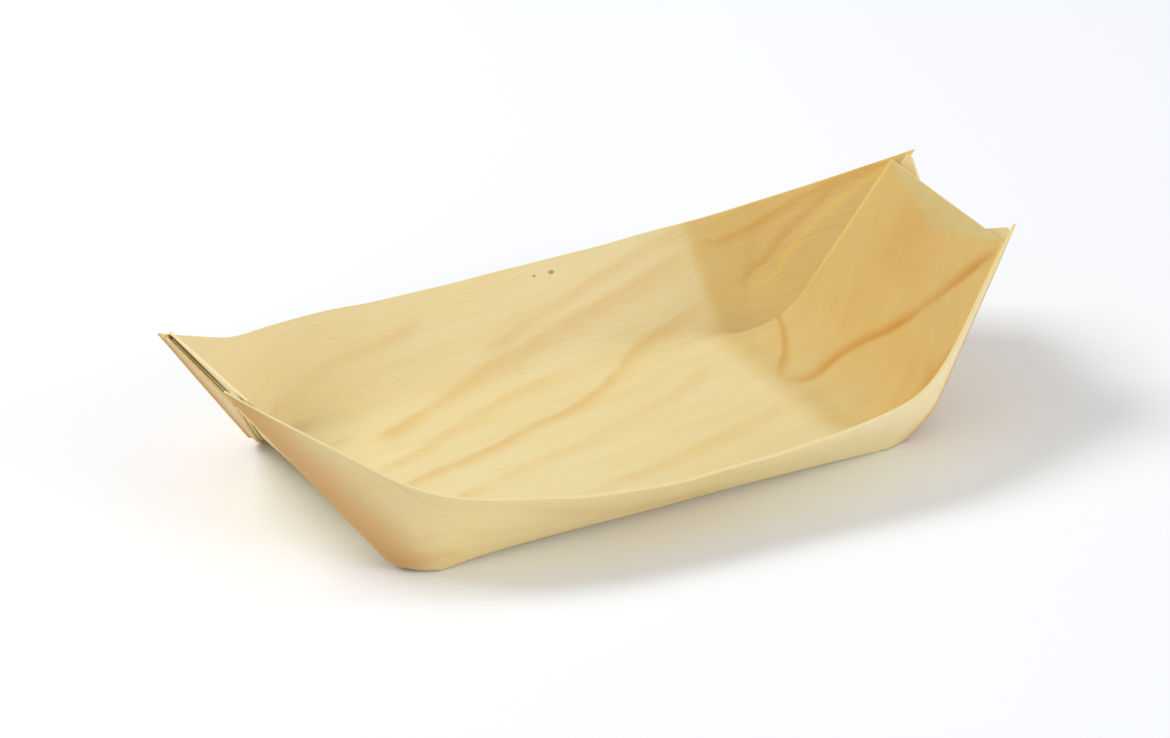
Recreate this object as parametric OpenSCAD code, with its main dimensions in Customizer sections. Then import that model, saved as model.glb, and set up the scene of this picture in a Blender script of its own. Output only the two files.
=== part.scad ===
// Folded wooden snack boat: one pine veneer blank with pleated corners.
// Millimetres. The boat stands on z = 0, bow towards -x, starboard towards +y.

/* [Boat] */
// Length over the ears
boat_length = 200; // [170:1:230]
// Height of the ear tips over the table
ear_height = 44; // [38:0.5:50]
// Width of the veneer blank, over the bottom and both walls
blank_width = 128; // [122:1:134]
// Width of the flat bottom at the bow bend
bow_width = 81; // [76:1:85]
// Width of the flat bottom at the stern bend
stern_width = 69; // [65:1:74]

/* [Veneer] */
// Thickness of the veneer
veneer = 0.7; // [0.5:0.05:0.9]
// Thickness of the glue film between two layers
glue_film = 0.12; // [0.08:0.01:0.2]

/* [Walls] */
// Slope of both walls amidships, from level
mid_flare = 41; // [36:1:46]
// Slope of both walls at the bow bend
bow_flare = 66; // [60:1:70]
// Slope of both walls at the stern bend
stern_flare = 47; // [44:1:54]
// Radius of the soft bend between bottom and wall, amidships
mid_bend = 18; // [8:1:24]
// Radius of the same bend at the bottom corners
corner_bend = 0.4; // [0.2:0.1:0.8]

/* [Ends] */
// Slope of the straight part of the bow panel
bow_slope = 53; // [49:1:58]
// Slope of the straight part of the stern panel
stern_slope = 58; // [53:1:62]
// Radius of the bend between bottom and bow panel
bow_bend = 12; // [9:1:18]
// Radius of the bend between bottom and stern panel
stern_bend = 20; // [15:1:26]
// Gap between the two ear tips at the bow
bow_ear_gap = 33; // [28:1:40]
// Gap between the two ear tips at the stern
stern_ear_gap = 46; // [40:1:52]
// How far the ears stand above the end panel, along its slope
ear_rise = 1; // [0.5:0.5:5]
// Gap between the tips of the two bow flaps, across the middle of the panel
bow_tip_gap = 4; // [1:0.5:8]
// Gap between the tips of the two stern flaps
stern_tip_gap = 1.5; // [1:0.5:8]
// Where the bow facet's rulings meet, in wall widths up from the bottom corner
bow_fan = 1.6; // [1.2:0.1:2.2]
// Where the stern facet's rulings meet
stern_fan = 1.1; // [1.05:0.05:1.4]

/* [Fits] */
// Clearance between folded layers and the wall they tuck into
fold_clearance = 0.05; // [0.03:0.01:0.15]
// Share of the inner flap that its glue film covers
glue_share = 0.86; // [0.6:0.02:0.92]

/* [Hidden] */
// The two ends, and what differs between them
BOW = 0;
STERN = 1;
slope = [bow_slope, stern_slope];
bend = [bow_bend, stern_bend];
ear_gap = [bow_ear_gap, stern_ear_gap];
flare = [bow_flare, stern_flare];
tip_gap = [bow_tip_gap, stern_tip_gap];
fan = [bow_fan, stern_fan];
half_width = [bow_width / 2, stern_width / 2];
wall_width = [for (h = half_width) blank_width / 2 - h];
end_sign = [-1, 1];
// One veneer layer with its glue, and all three layers of a pleat
layer = veneer + glue_film;
stack = 3 * veneer + 2 * glue_film;
// Height over the table at which the pleats start
pleat_lift = 0.2;
// Reach of a corner facet's cutting fan past the fold, and a distance outside the boat
fan_reach = 1.4;
far = 300;
// Sections along the trough, then steps round a bend, up a wall, round an end and up its panel
stations = 48;
bend_steps = 6;
wall_steps = 2;
arc_steps = 12;
straight_steps = 4;

function unit(v) = v / norm(v);

// Bend arc length of an end panel
function arc_length(e) = bend[e] * slope[e] * PI / 180;

// Profile of an end, measured from the end of the bottom: along the arc, then along the straight
function arc_point(e, off, psi) =
    [(bend[e] + off) * sin(psi), veneer + bend[e] - (bend[e] + off) * cos(psi)];
function straight_point(e, off, p) =
    arc_point(e, off, slope[e]) + p * [cos(slope[e]), sin(slope[e])];

// From the bottom corner of an end: the meeting point of its facet's rulings, above the rim
function apex(e) = fan[e] * wall_width[e] * [0, cos(flare[e]), sin(flare[e])];

// How far the corner facet reaches past the panel's inner face, to cover the folded layers
reach = [for (e = [BOW, STERN])
    1 + stack / (bend[e] * (1 - cos(slope[e])) + apex(e)[2] * cos(slope[e]))];

// Straight run from the arc to the fold's top, to the panel's top edge and to the ear tip
ear_run = [for (e = [BOW, STERN])
    let (top = veneer + apex(e)[2])
    (top + (ear_height - top) / reach[e] - arc_point(e, 0, slope[e])[1]) / sin(slope[e])];
panel_run = [for (e = [BOW, STERN]) ear_run[e] - ear_rise];
overhang = [for (e = [BOW, STERN]) reach[e] * straight_point(e, 0, ear_run[e])[0]];
tip_run = [for (e = [BOW, STERN])
    let (q = straight_point(e, 0, ear_run[e]) - [0, veneer + apex(e)[2]])
    ear_run[e] + (reach[e] - 1) * (q * [cos(slope[e]), sin(slope[e])])];

// Half width of the panel at the fold's top, and its slimming along the slope
fold_top = [for (e = [BOW, STERN])
    let (y = half_width[e] + apex(e)[1])
    y + (ear_gap[e] / 2 - y) / reach[e]];
slimming = [for (e = [BOW, STERN])
    (half_width[e] - fold_top[e]) / (arc_length(e) + ear_run[e])];

// Fold between panel and corner facet, from the bottom corner: x, y, z at a run along the slope
function fold_point(e, run) =
    let (q = run < arc_length(e) ? arc_point(e, 0, run / bend[e] * 180 / PI)
                                 : straight_point(e, 0, run - arc_length(e)))
    [q[0], -run * slimming[e], q[1] - veneer];
fold_runs = [for (e = [BOW, STERN]) concat(
    [for (k = [1:arc_steps]) arc_length(e) * k / arc_steps],
    [for (k = [1:straight_steps]) arc_length(e) + ear_run[e] * k / straight_steps])];

// Edge of the corner facet: the fold, drawn on from the apex past the layers, clear of the table
function edge_point(e, run) =
    let (q = fold_point(e, run), r = apex(e),
         psi = min(slope[e], run / bend[e] * 180 / PI),
         n = [sin(psi), 0, -cos(psi)],
         s = 1 + stack / ((q - r) * n))
    r + (r[2] > q[2] ? min(s, r[2] / (r[2] - q[2])) : s) * (q - r);
function facet_side(e, run_a, run_b) =
    let (r = apex(e), n = cross(edge_point(e, run_a) - r, edge_point(e, run_b) - r))
    unit(n[1] > 0 ? n : -n);
facet_sides = [for (e = [BOW, STERN]) let (m = concat([0], fold_runs[e]))
    [for (k = [0:len(m) - 2]) facet_side(e, m[k], m[k + 1])]];
facet_normals = [for (e = [BOW, STERN]) let (m = facet_sides[e])
    [for (k = [0:len(m) - 1]) unit(m[k] + m[min(k + 1, len(m) - 1)])]];

// Distance from the middle of the boat to each end of the bottom
bottom_end = [for (e = [BOW, STERN]) let (m = facet_normals[e])
    boat_length / 2 - overhang[e] - veneer * m[len(m) - 1][0]];
corner = [for (e = [BOW, STERN]) [bottom_end[e], half_width[e], veneer]];

// Lowest angle on the arc at which the whole stack stays above the table
stack_start = [for (e = [BOW, STERN])
    acos((veneer + bend[e] - pleat_lift) / (bend[e] + stack))];

// Fold angles at the bottom corner, on the flat blank
panel_angle = [for (e = [BOW, STERN]) atan(slimming[e])];
fold_length = [for (e = [BOW, STERN]) (arc_length(e) + ear_run[e]) / cos(panel_angle[e])];
rim_angle = [for (e = [BOW, STERN]) asin(wall_width[e] / fold_length[e])];
// Crease of a pleat as folded, from the bottom corner to a tip that keeps the gap
crease_angle = [for (e = [BOW, STERN])
    let (k = (half_width[e] - tip_gap[e] / 2) / (arc_length(e) + panel_run[e]), a = 2 * panel_angle[e])
    atan(k * cos(a) / (1 - k * sin(a)))];

// Flap outlines on the panel: run up the straight part, then distance from the middle
flap_foot = [for (e = [BOW, STERN]) [-arc_length(e), half_width[e]]];
flap_tip = [for (e = [BOW, STERN])
    let (across = half_width[e] - tip_gap[e] / 2)
    [across / tan(crease_angle[e]) - arc_length(e), tip_gap[e] / 2]];
function flap_outline(e, top) =
    [flap_foot[e], [flap_foot[e][0], blank_width], [top, blank_width],
     [top, fold_top[e] + (ear_run[e] - top) * slimming[e]], flap_tip[e]];
function shrunk(outline) =
    let (c = (outline[0] + outline[3] + outline[4]) / 3)
    [for (q = [outline[0], outline[3], outline[4]]) c + glue_share * (q - c)];

// Cross-section of the trough at x: slope and bend radius, then points from bottom to rim
function along(x) = x > 0 ? x / bottom_end[STERN] : -x / bottom_end[BOW];
function half_bottom(x) = half_width[BOW] + (half_width[STERN] - half_width[BOW])
    * (x + bottom_end[BOW]) / (bottom_end[BOW] + bottom_end[STERN]);
function wall_slope(x) =
    mid_flare + (flare[x > 0 ? STERN : BOW] - mid_flare) * along(x) ^ 2;
function wall_bend(x) = corner_bend + (mid_bend - corner_bend) * (1 - along(x) ^ 2);
function section(x, off) =
    let (a = wall_slope(x), r = wall_bend(x), d = r * tan(a / 2),
         yc = half_bottom(x) - d, zc = veneer + r, run = blank_width / 2 - half_bottom(x) - d)
    concat(
        [for (k = [0:bend_steps]) let (b = a * k / bend_steps)
            [x, yc + (r + off) * sin(b), zc - (r + off) * cos(b)]],
        [for (k = [1:wall_steps]) let (s = run * k / wall_steps)
            [x, yc + (r + off) * sin(a) + s * cos(a), zc - (r + off) * cos(a) + s * sin(a)]]);

// Outer face of the last section, mitred into the corner facet
function mitre(e) =
    let (n = [0, sin(flare[e]), -cos(flare[e])], m = facet_sides[e][0])
    veneer * (n + m) / (1 + n * m);
function last_section(e) =
    let (p = flip(section(end_sign[e] * bottom_end[e], 0), end_sign[e], 1))
    [for (k = [0:len(p) - 1]) let (f = min(1, k / bend_steps), b = flare[e] * f)
        p[k] + (1 - f) * veneer * [0, sin(b), -cos(b)] + f * mitre(e)];

// Free edge of the corner facet, from the bottom corner up to the ear tip, then its rim, short of the tip
function facet_edge(e, off) =
    [for (k = [0:len(fold_runs[e]) - 1])
        corner[e] + edge_point(e, fold_runs[e][k]) + off * facet_normals[e][k]];
function rim_share(e, run) =
    let (ray = run / cos(panel_angle[e]) * sin(rim_angle[e]))
    (fan[e] - 1) * wall_width[e] / (fan[e] * wall_width[e] - ray);
function facet_rim(e, off) =
    [for (k = [0:len(fold_runs[e]) - 2]) let (run = fold_runs[e][k], r = apex(e))
        corner[e] + r + rim_share(e, run) * (edge_point(e, run) - r) + off * facet_normals[e][k]];

function flip(points, sx, sy) = [for (p = points) [sx * p[0], sy * p[1], p[2]]];
function backwards(list) = [for (i = [len(list) - 1:-1:0]) list[i]];
function both_sides(points) = concat(backwards(flip(points, 1, -1)), points);
function patch(a, b, c, d) = [[a, b, c], [a, c, d]];

// Bottom, both walls and the four corner facets: one shell of even thickness
module hull_trough() {
    half = bend_steps + 1 + wall_steps;
    across = 2 * half;
    xs = [for (i = [0:stations])
        -bottom_end[BOW] + (bottom_end[BOW] + bottom_end[STERN]) * i / stations];
    inner = [for (x = xs) each both_sides(section(x, 0))];
    outer = concat(
        both_sides(flip(last_section(BOW), -1, 1)),
        [for (i = [1:stations - 1]) each both_sides(section(xs[i], veneer))],
        both_sides(last_section(STERN)));
    folds = arc_steps + straight_steps;
    facets = [for (e = [BOW, STERN]) for (s = [-1, 1]) for (off = [0, veneer])
        each flip(concat(facet_edge(e, off), facet_rim(e, off)), end_sign[e], s)];
    count = (stations + 1) * across;
    points = concat(inner, outer, facets);
    shell = [for (i = [0:stations - 1]) for (j = [0:across - 2])
        let (a = i * across + j, b = a + 1, c = b + across, d = a + across)
        each concat(patch(a, b, c, d), patch(count + a, count + d, count + c, count + b))];
    rims = [for (i = [0:stations - 1]) for (j = [0, across - 1])
        let (a = i * across + j, d = a + across,
             q = patch(a, d, count + d, count + a))
        each (j == 0 ? q : [for (f = q) backwards(f)])];
    ends = [for (e = [BOW, STERN])
        let (a = (e == BOW ? 0 : stations) * across + half - 1, b = a + 1,
             q = patch(a, count + a, count + b, b))
        each (e == BOW ? q : [for (f = q) backwards(f)])];
    corners = [for (e = [BOW, STERN]) for (s = [0, 1])
        let (row = (e == BOW ? 0 : stations) * across,
             w = [for (k = [0:half - 1]) row + (s == 1 ? half + k : half - 1 - k)],
             block = 2 * folds - 1,
             f0 = 2 * count + ((2 * e + s) * 2) * block,
             f = [for (k = [0:folds - 1]) f0 + k],
             g = [for (k = [0:folds - 1]) f0 + block + k],
             rim = concat([w[half - 1]], [for (k = [0:folds - 2]) f0 + folds + k], [f[folds - 1]]),
             lip = concat([count + w[half - 1]], [for (k = [0:folds - 2]) f0 + block + folds + k],
                          [g[folds - 1]]),
             q = concat(
                [for (k = [0:half - 2]) [f[0], w[k + 1], w[k]]],
                [[rim[0], f[0], rim[1]], [rim[folds - 1], f[folds - 2], f[folds - 1]]],
                [for (k = [0:folds - 3]) each patch(rim[k + 1], f[k], f[k + 1], rim[k + 2])],
                [for (k = [0:half - 2]) [g[0], count + w[k], count + w[k + 1]]],
                [[lip[1], g[0], lip[0]], [g[folds - 1], g[folds - 2], lip[folds - 1]]],
                [for (k = [0:folds - 3]) each patch(lip[k + 2], g[k + 1], g[k], lip[k + 1])],
                [for (k = [0:folds - 2]) each patch(f[k + 1], f[k], g[k], g[k + 1])],
                [for (k = [0:folds - 1]) each patch(rim[k + 1], lip[k + 1], lip[k], rim[k])],
                patch(f[0], w[0], count + w[0], g[0])))
        each ((e == BOW) == (s == 1) ? q : [for (t = q) backwards(t)])];
    color("BurlyWood") polyhedron(points, concat(shell, rims, ends, corners), convexity = 8);
}

// Everything on the inner side of one corner facet
module inside_facet(e) {
    runs = concat([-arc_length(e) / arc_steps, 0], fold_runs[e]);
    r = apex(e);
    rays = concat([r], [for (m = runs) r + fan_reach * (fold_point(e, m) - r)]);
    n = len(rays);
    top = [for (q = rays) corner[e] + q - [0, fold_clearance, 0]];
    low = [for (q = top) [q[0], -far, q[2]]];
    roof = [for (k = [1:n - 2]) [0, k, k + 1]];
    base = [for (f = roof) [n + f[2], n + f[1], n + f[0]]];
    sides = [for (k = [0:n - 1]) let (m = (k + 1) % n) each patch(m, k, n + k, n + m)];
    polyhedron(concat(top, low), concat(roof, base, sides), convexity = 4);
}

// A bent strip across the whole end: from one offset behind the panel's inner face to another
module end_strip(e, from, to, start, run) {
    angles = [for (k = [0:arc_steps]) start + (slope[e] - start) * k / arc_steps];
    near_side = concat([for (a = angles) arc_point(e, from, a)], [straight_point(e, from, run)]);
    far_side = concat([for (a = angles) arc_point(e, to, a)], [straight_point(e, to, run)]);
    translate([bottom_end[e], 0, 0])
        rotate([90, 0, 0])
            linear_extrude(height = 2 * blank_width, center = true)
                polygon(concat(near_side, backwards(far_side)));
}

// An outline on the straight part of the panel, drawn through all layers
module panel_prism(e, outline) {
    foot = arc_point(e, 0, slope[e]);
    translate([bottom_end[e] + foot[0], 0, foot[1]])
        rotate([0, -slope[e], 0])
            linear_extrude(height = far / 2, center = true)
                polygon(outline);
}

module end_panel(e) {
    intersection() {
        end_strip(e, 0, veneer, 0, panel_run[e]);
        inside_facet(e);
        mirror([0, 1, 0]) inside_facet(e);
    }
}

module inner_flap(e) {
    intersection() {
        end_strip(e, layer, layer + veneer, stack_start[e], panel_run[e]);
        panel_prism(e, flap_outline(e, panel_run[e]));
        inside_facet(e);
    }
}

module outer_flap(e) {
    intersection() {
        end_strip(e, 2 * layer, stack, stack_start[e], tip_run[e]);
        panel_prism(e, flap_outline(e, tip_run[e]));
        inside_facet(e);
    }
}

// Film behind the panel (step 0) or between the two flap layers (step 1)
module glue(e, step) {
    intersection() {
        end_strip(e, veneer + step * layer, layer + step * layer, stack_start[e], panel_run[e]);
        panel_prism(e, shrunk(flap_outline(e, panel_run[e])));
        inside_facet(e);
    }
}

module bow() { mirror([1, 0, 0]) children(); }
module port() { mirror([0, 1, 0]) children(); }

module bow_end_panel() { color("Tan") bow() end_panel(BOW); }
module stern_end_panel() { color("Tan") end_panel(STERN); }

module bow_port_inner_flap() { color("Peru") bow() port() inner_flap(BOW); }
module bow_port_outer_flap() { color("Wheat") bow() port() outer_flap(BOW); }
module bow_starboard_inner_flap() { color("Peru") bow() inner_flap(BOW); }
module bow_starboard_outer_flap() { color("Wheat") bow() outer_flap(BOW); }
module stern_port_inner_flap() { color("Peru") port() inner_flap(STERN); }
module stern_port_outer_flap() { color("Wheat") port() outer_flap(STERN); }
module stern_starboard_inner_flap() { color("Peru") inner_flap(STERN); }
module stern_starboard_outer_flap() { color("Wheat") outer_flap(STERN); }

module bow_port_panel_glue() { color("Ivory") bow() port() glue(BOW, 0); }
module bow_port_flap_glue() { color("Ivory") bow() port() glue(BOW, 1); }
module bow_starboard_panel_glue() { color("Ivory") bow() glue(BOW, 0); }
module bow_starboard_flap_glue() { color("Ivory") bow() glue(BOW, 1); }
module stern_port_panel_glue() { color("Ivory") port() glue(STERN, 0); }
module stern_port_flap_glue() { color("Ivory") port() glue(STERN, 1); }
module stern_starboard_panel_glue() { color("Ivory") glue(STERN, 0); }
module stern_starboard_flap_glue() { color("Ivory") glue(STERN, 1); }

hull_trough();
bow_end_panel();
stern_end_panel();
bow_port_inner_flap();
bow_port_outer_flap();
bow_starboard_inner_flap();
bow_starboard_outer_flap();
stern_port_inner_flap();
stern_port_outer_flap();
stern_starboard_inner_flap();
stern_starboard_outer_flap();
bow_port_panel_glue();
bow_port_flap_glue();
bow_starboard_panel_glue();
bow_starboard_flap_glue();
stern_port_panel_glue();
stern_port_flap_glue();
stern_starboard_panel_glue();
stern_starboard_flap_glue();
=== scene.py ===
"""Looks of a folded pine snack boat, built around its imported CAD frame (metres, bow towards -X)."""

import logging
import math
from collections import Counter
from dataclasses import dataclass, field
from enum import Enum
from functools import reduce
from typing import Iterable, Sequence

import bmesh
import bpy
import numpy as np
from bmesh.types import BMFace, BMVert
from bpy.types import ID, Material, Node, NodeSocket, NodeTree, Object
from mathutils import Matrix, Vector
from numpy import ndarray as Array


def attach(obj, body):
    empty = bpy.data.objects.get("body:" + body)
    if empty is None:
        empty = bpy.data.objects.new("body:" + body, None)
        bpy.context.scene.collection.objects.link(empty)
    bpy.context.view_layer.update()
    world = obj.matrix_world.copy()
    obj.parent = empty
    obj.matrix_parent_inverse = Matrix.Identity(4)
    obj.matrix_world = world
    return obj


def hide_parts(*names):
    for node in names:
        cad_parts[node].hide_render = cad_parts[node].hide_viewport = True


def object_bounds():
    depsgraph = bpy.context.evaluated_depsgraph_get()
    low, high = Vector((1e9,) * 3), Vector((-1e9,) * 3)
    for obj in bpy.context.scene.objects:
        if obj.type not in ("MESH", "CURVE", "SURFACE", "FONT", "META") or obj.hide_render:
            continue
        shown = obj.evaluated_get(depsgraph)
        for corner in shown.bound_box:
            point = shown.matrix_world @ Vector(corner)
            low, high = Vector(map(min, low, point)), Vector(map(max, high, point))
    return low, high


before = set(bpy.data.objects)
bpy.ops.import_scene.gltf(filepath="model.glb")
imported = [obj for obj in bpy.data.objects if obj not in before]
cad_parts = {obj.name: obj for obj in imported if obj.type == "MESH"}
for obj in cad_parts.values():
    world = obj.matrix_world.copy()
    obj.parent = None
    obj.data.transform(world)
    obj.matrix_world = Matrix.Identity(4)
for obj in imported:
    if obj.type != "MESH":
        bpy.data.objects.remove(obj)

CAD_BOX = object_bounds()
LOG = logging.getLogger("snack_boat")
BLANK_UV = "blank"
MM = 0.001
FLAT_RISE = (1 * MM, 6 * MM)  # heights over which the bottom turns into wall
# painted light: warm golden glow laid over painted shade on walls and corner facets
SHADE_GLOW = 0.6  # share of a wall's dark shade that also makes it more golden
REACH = 130.0  # half of the square, in millimetres, that drawn growth lines are plotted on
LINE_END = 8.0  # millimetres over which they fade out at both ends
COVERED = -9.0  # top_light of wood that has other layers behind it
SIDE_ROUNDS = 4  # rounds in which the side of a pleat layer is found
RULING_STEP = 0.02  # share of an end's bend between two rulings that give a facet's direction
SAME_POINT, WELD = 4e-6, 3e-6  # metres within which two points count as one, or are merged
SLIVER = 1e-7  # metres below which an edge is taken out

Tint = tuple[int, int, int]
Colour = tuple[float, float, float, float]
Span = tuple[float, float]
Place = tuple[float, float, float]
Wave = tuple[float, float, float, float]


class End(Enum):
    """The two ends of the boat, with their sign along X."""

    BOW = -1
    STERN = 1


class Side(Enum):
    """The two sides of the boat, with their sign along Y."""

    PORT = -1
    STARBOARD = 1


class Mask(str, Enum):
    """Point values that tell the finishes where they are on the veneer."""

    CUT = "cut_edge"
    # painted shade where the wood gets less light, and painted light where the value is below 0
    BACKED = "backed"
    # painted highlight along the inner side of folds, and warm painted light over painted shade
    CREASE = "crease_glow"
    # painted shade, in warm brown, along the outer side of folds and on the flaps
    BROWNED = "browned_fold"
    # painted light: wood with no layer behind it, lightened as if lit through the veneer
    THROUGH = "top_light"


Masks = dict[Mask, tuple[Array, Array]]
RimEdge = tuple[int, int, bool, Array]


def unit(vectors: Array) -> Array:
    """Vectors of length one."""
    return vectors / np.maximum(np.linalg.norm(vectors, axis=-1, keepdims=True), 1e-12)


def smoothstep(low: float, high: float, value: Array) -> Array:
    """Soft step from 0 at low to 1 at high."""
    t = np.clip((value - low) / (high - low), 0.0, 1.0)
    return t * t * (3.0 - 2.0 * t)


def linked(name: str, data: ID) -> Object:
    """A new object in the scene."""
    thing = bpy.data.objects.new(name, data)
    bpy.context.scene.collection.objects.link(thing)
    return thing


def face_masks(shape: tuple[int, int], given: Masks) -> Masks:
    """Masks of both faces of a grid of points.

    Args:
        shape: Rows and columns of the grid.
        given: Masks that are not plain.

    Returns:
        All masks that are kept on points.
    """
    plain = {Mask.BACKED: 0.0, Mask.CREASE: 0.0, Mask.BROWNED: 0.0, Mask.THROUGH: COVERED}
    return {mask: given.get(mask, (np.full(shape, value),) * 2) for mask, value in plain.items()}


@dataclass(frozen=True)
class BlankSizes:
    """Sizes of the veneer blank and of the folded boat, in metres.

    Attributes:
        pleat_lift: Height over the table at which the pleat's layers start.
        foot_share: Share of the pleat's thickness that a corner facet reaches past at its foot.
        foot_rise: Shares of the panel's bend over which that grows to the whole thickness.
    """

    boat_length: float = 200 * MM
    ear_height: float = 44 * MM
    blank_width: float = 128 * MM
    veneer: float = 0.7 * MM
    glue_film: float = 0.12 * MM
    mid_flare: float = math.radians(41)
    mid_bend: float = 18 * MM
    corner_bend: float = 0.4 * MM
    ear_rise: float = 1 * MM
    fold_clearance: float = 0.05 * MM
    pleat_lift: float = 0.2 * MM
    foot_share: float = 0.35
    foot_rise: Span = (0.4, 1.0)

    @property
    def layer(self) -> float:
        """One veneer layer with its glue."""
        return self.veneer + self.glue_film

    @property
    def stack(self) -> float:
        """All three layers of a pleat."""
        return 3 * self.veneer + 2 * self.glue_film


@dataclass(frozen=True)
class ShadeRamps:
    """Where the painted shade of an end starts, as distances past the end of the bottom.

    Attributes:
        share: Share of the end's painted shade that bottom and walls take.
            dark_wall, dark_bottom: Sharp start of a dark painted shade on the wall, and a soft one on the
                bottom.
            pale_start, pale_end: Stretch of wall before a dark shade, made paler with painted light.
        paleness: How much painted light it takes.
            painted_light_wall, painted_light_bottom: Starts of painted light, where the end's shade is below
                0.
    """

    share: float = 0.65
    dark_wall: Span = (-5.5 * MM, -1.5 * MM)
    dark_bottom: Span = (-10 * MM, 0.0)
    pale_start: Span = (-60 * MM, -36 * MM)
    pale_end: Span = (-12 * MM, -5 * MM)
    paleness: float = 0.28
    painted_light_wall: Span = (-60 * MM, 22 * MM)
    painted_light_bottom: Span = (0.0, 22 * MM)


@dataclass
class EndForm:
    """How one end is bent and pleated; every place is measured from its bottom corner.

    Attributes:
        end: Which end this is.
        slope: Slope of the straight part of the panel.
        bend: Radius between the bottom and the panel.
        ear_gap: Gap between the ear tips.
        flare: Slope of the walls at this end.
        width: Width of the bottom at this end.
        fan: Where the corner facet's rulings meet, in wall widths up from the bottom corner.
        tip_gap: Gap between the tips of the two flaps.
        shade: How far the inside of this end is darkened with painted shade, or lightened with painted light
            below 0.
        outside: The same for the outside of its walls.
        sizes: Sizes of the blank.
        ramps: Where the painted shade starts.
        arc_length: Length of the bend from the bottom to the panel.
        ear_run, panel_run, tip_run: How far side fold, panel and outer flap run up the straight part.
        slimming: What the panel's half width loses per length.
        bottom_end: Distance from amidships at which the bottom ends.
        stack_start: Angle round the bend at which the pleat's layers start.
        panel_angle, crease_angle, rim_angle: Angles on the blank of side fold, flap crease and ear fold.
        flap_tip, flap_foot: Ends of a flap's crease, up the straight part and across.
    """

    end: End
    slope: float
    bend: float
    ear_gap: float
    flare: float
    width: float
    fan: float
    tip_gap: float
    shade: float
    outside: float
    sizes: BlankSizes
    ramps: ShadeRamps = ShadeRamps()
    arc_length: float = field(init=False)
    ear_run: float = field(init=False)
    panel_run: float = field(init=False)
    tip_run: float = field(init=False)
    slimming: float = field(init=False)
    bottom_end: float = field(init=False)
    stack_start: float = field(init=False)
    panel_angle: float = field(init=False)
    crease_angle: float = field(init=False)
    rim_angle: float = field(init=False)
    flap_tip: Array = field(init=False)
    flap_foot: Array = field(init=False)

    def __post_init__(self) -> None:
        """Work out the folds from the sizes."""
        z = self.sizes
        self.arc_length = self.bend * self.slope
        arm = self.apex
        way = np.array([math.cos(self.slope), math.sin(self.slope)])
        reach = 1 + z.stack / (self.bend * (1 - way[0]) + arm[2] * way[0])
        rim = z.veneer + arm[2]
        foot = self.profile(0.0, self.arc_length)
        self.ear_run = (rim + (z.ear_height - rim) / reach - foot[1]) / way[1]
        self.panel_run = self.ear_run - z.ear_rise
        top = self.profile(0.0, self.arc_length + self.ear_run)
        self.tip_run = self.ear_run + (reach - 1) * float((top - [0, rim]) @ way)
        apex_y = self.half + arm[1]
        fold_top = apex_y + (self.ear_gap / 2 - apex_y) / reach
        whole = self.arc_length + self.ear_run
        self.slimming = (self.half - fold_top) / whole
        self.stack_start = math.acos((z.veneer + self.bend - z.pleat_lift) / (self.bend + z.stack))
        self.panel_angle = math.atan(self.slimming)
        self.rim_angle = math.asin(self.wall * math.cos(self.panel_angle) / whole)
        across = self.half - self.tip_gap / 2
        k, a = across / (self.arc_length + self.panel_run), 2 * self.panel_angle
        self.crease_angle = math.atan(k * math.cos(a) / (1 - k * math.sin(a)))
        self.flap_foot = np.array([-self.arc_length, self.half])
        tip = across / math.tan(self.crease_angle) - self.arc_length
        self.flap_tip = np.array([tip, self.tip_gap / 2])
        normal = self.edge_normals(np.array([whole]))[0]
        self.bottom_end = z.boat_length / 2 - reach * top[0] - z.veneer * normal[0]

    @property
    def sign(self) -> int:
        """-1 at the bow and 1 at the stern."""
        return self.end.value

    @property
    def half(self) -> float:
        """Half width of the bottom at this end."""
        return self.width / 2

    @property
    def wall(self) -> float:
        """Width of the wall at this end."""
        return self.sizes.blank_width / 2 - self.half

    @property
    def apex(self) -> Array:
        """Place where the corner facet's rulings meet, above the rim."""
        return self.fan * self.wall * np.array([0.0, math.cos(self.flare), math.sin(self.flare)])

    def wall_shade(self, reach: Array, flat: Array | float = 0.0) -> Array:
        """Painted shade of bottom, wall and corner facet, and painted light where it is below 0.

        Args:
            reach: Distance from amidships.
            flat: 1 on the bottom and 0 on the wall.

        Returns:
            The shade.
        """
        r, past, pale = self.ramps, np.asarray(reach) - self.bottom_end, 0.0
        if self.shade < 0:
            wall, bottom = smoothstep(*r.painted_light_wall, past), smoothstep(*r.painted_light_bottom, past)
        else:
            wall, bottom = smoothstep(*r.dark_wall, past), smoothstep(*r.dark_bottom, past)
            pale = r.paleness * smoothstep(*r.pale_start, past) * (1 - smoothstep(*r.pale_end, past))
        return self.shade * (r.share * (wall + (bottom - wall) * flat) - pale * (1 - flat))

    def angle(self, run: Array) -> Array:
        """Slope of the panel at a run up it."""
        return np.minimum(self.slope, np.asarray(run) / self.bend)

    def profile(self, offset: float, run: Array) -> Array:
        """Place of the panel's section, offset outwards.

        Args:
            offset: Distance behind the panel's inner face.
            run: Distance up the panel, round the bend and then straight.

        Returns:
            Array of (x from the end of the bottom, z over the table).
        """
        run = np.asarray(run, float)
        psi = self.angle(run)
        straight = np.maximum(0.0, run - self.arc_length)
        radius = self.bend + offset
        x = radius * np.sin(psi) + straight * math.cos(self.slope)
        height = self.sizes.veneer + self.bend - radius * np.cos(psi) + straight * math.sin(self.slope)
        return np.stack([x, height], axis=-1)

    def fold_points(self, run: Array) -> Array:
        """Fold between panel and corner facet."""
        flat = self.profile(0.0, run)
        return np.stack([flat[..., 0], -np.asarray(run) * self.slimming,
                         flat[..., 1] - self.sizes.veneer], axis=-1)

    def _outward(self, run: Array) -> Array:
        """Direction that points out of the panel."""
        psi = self.angle(run)
        return np.stack([np.sin(psi), np.zeros_like(psi), -np.cos(psi)], axis=-1)

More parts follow.
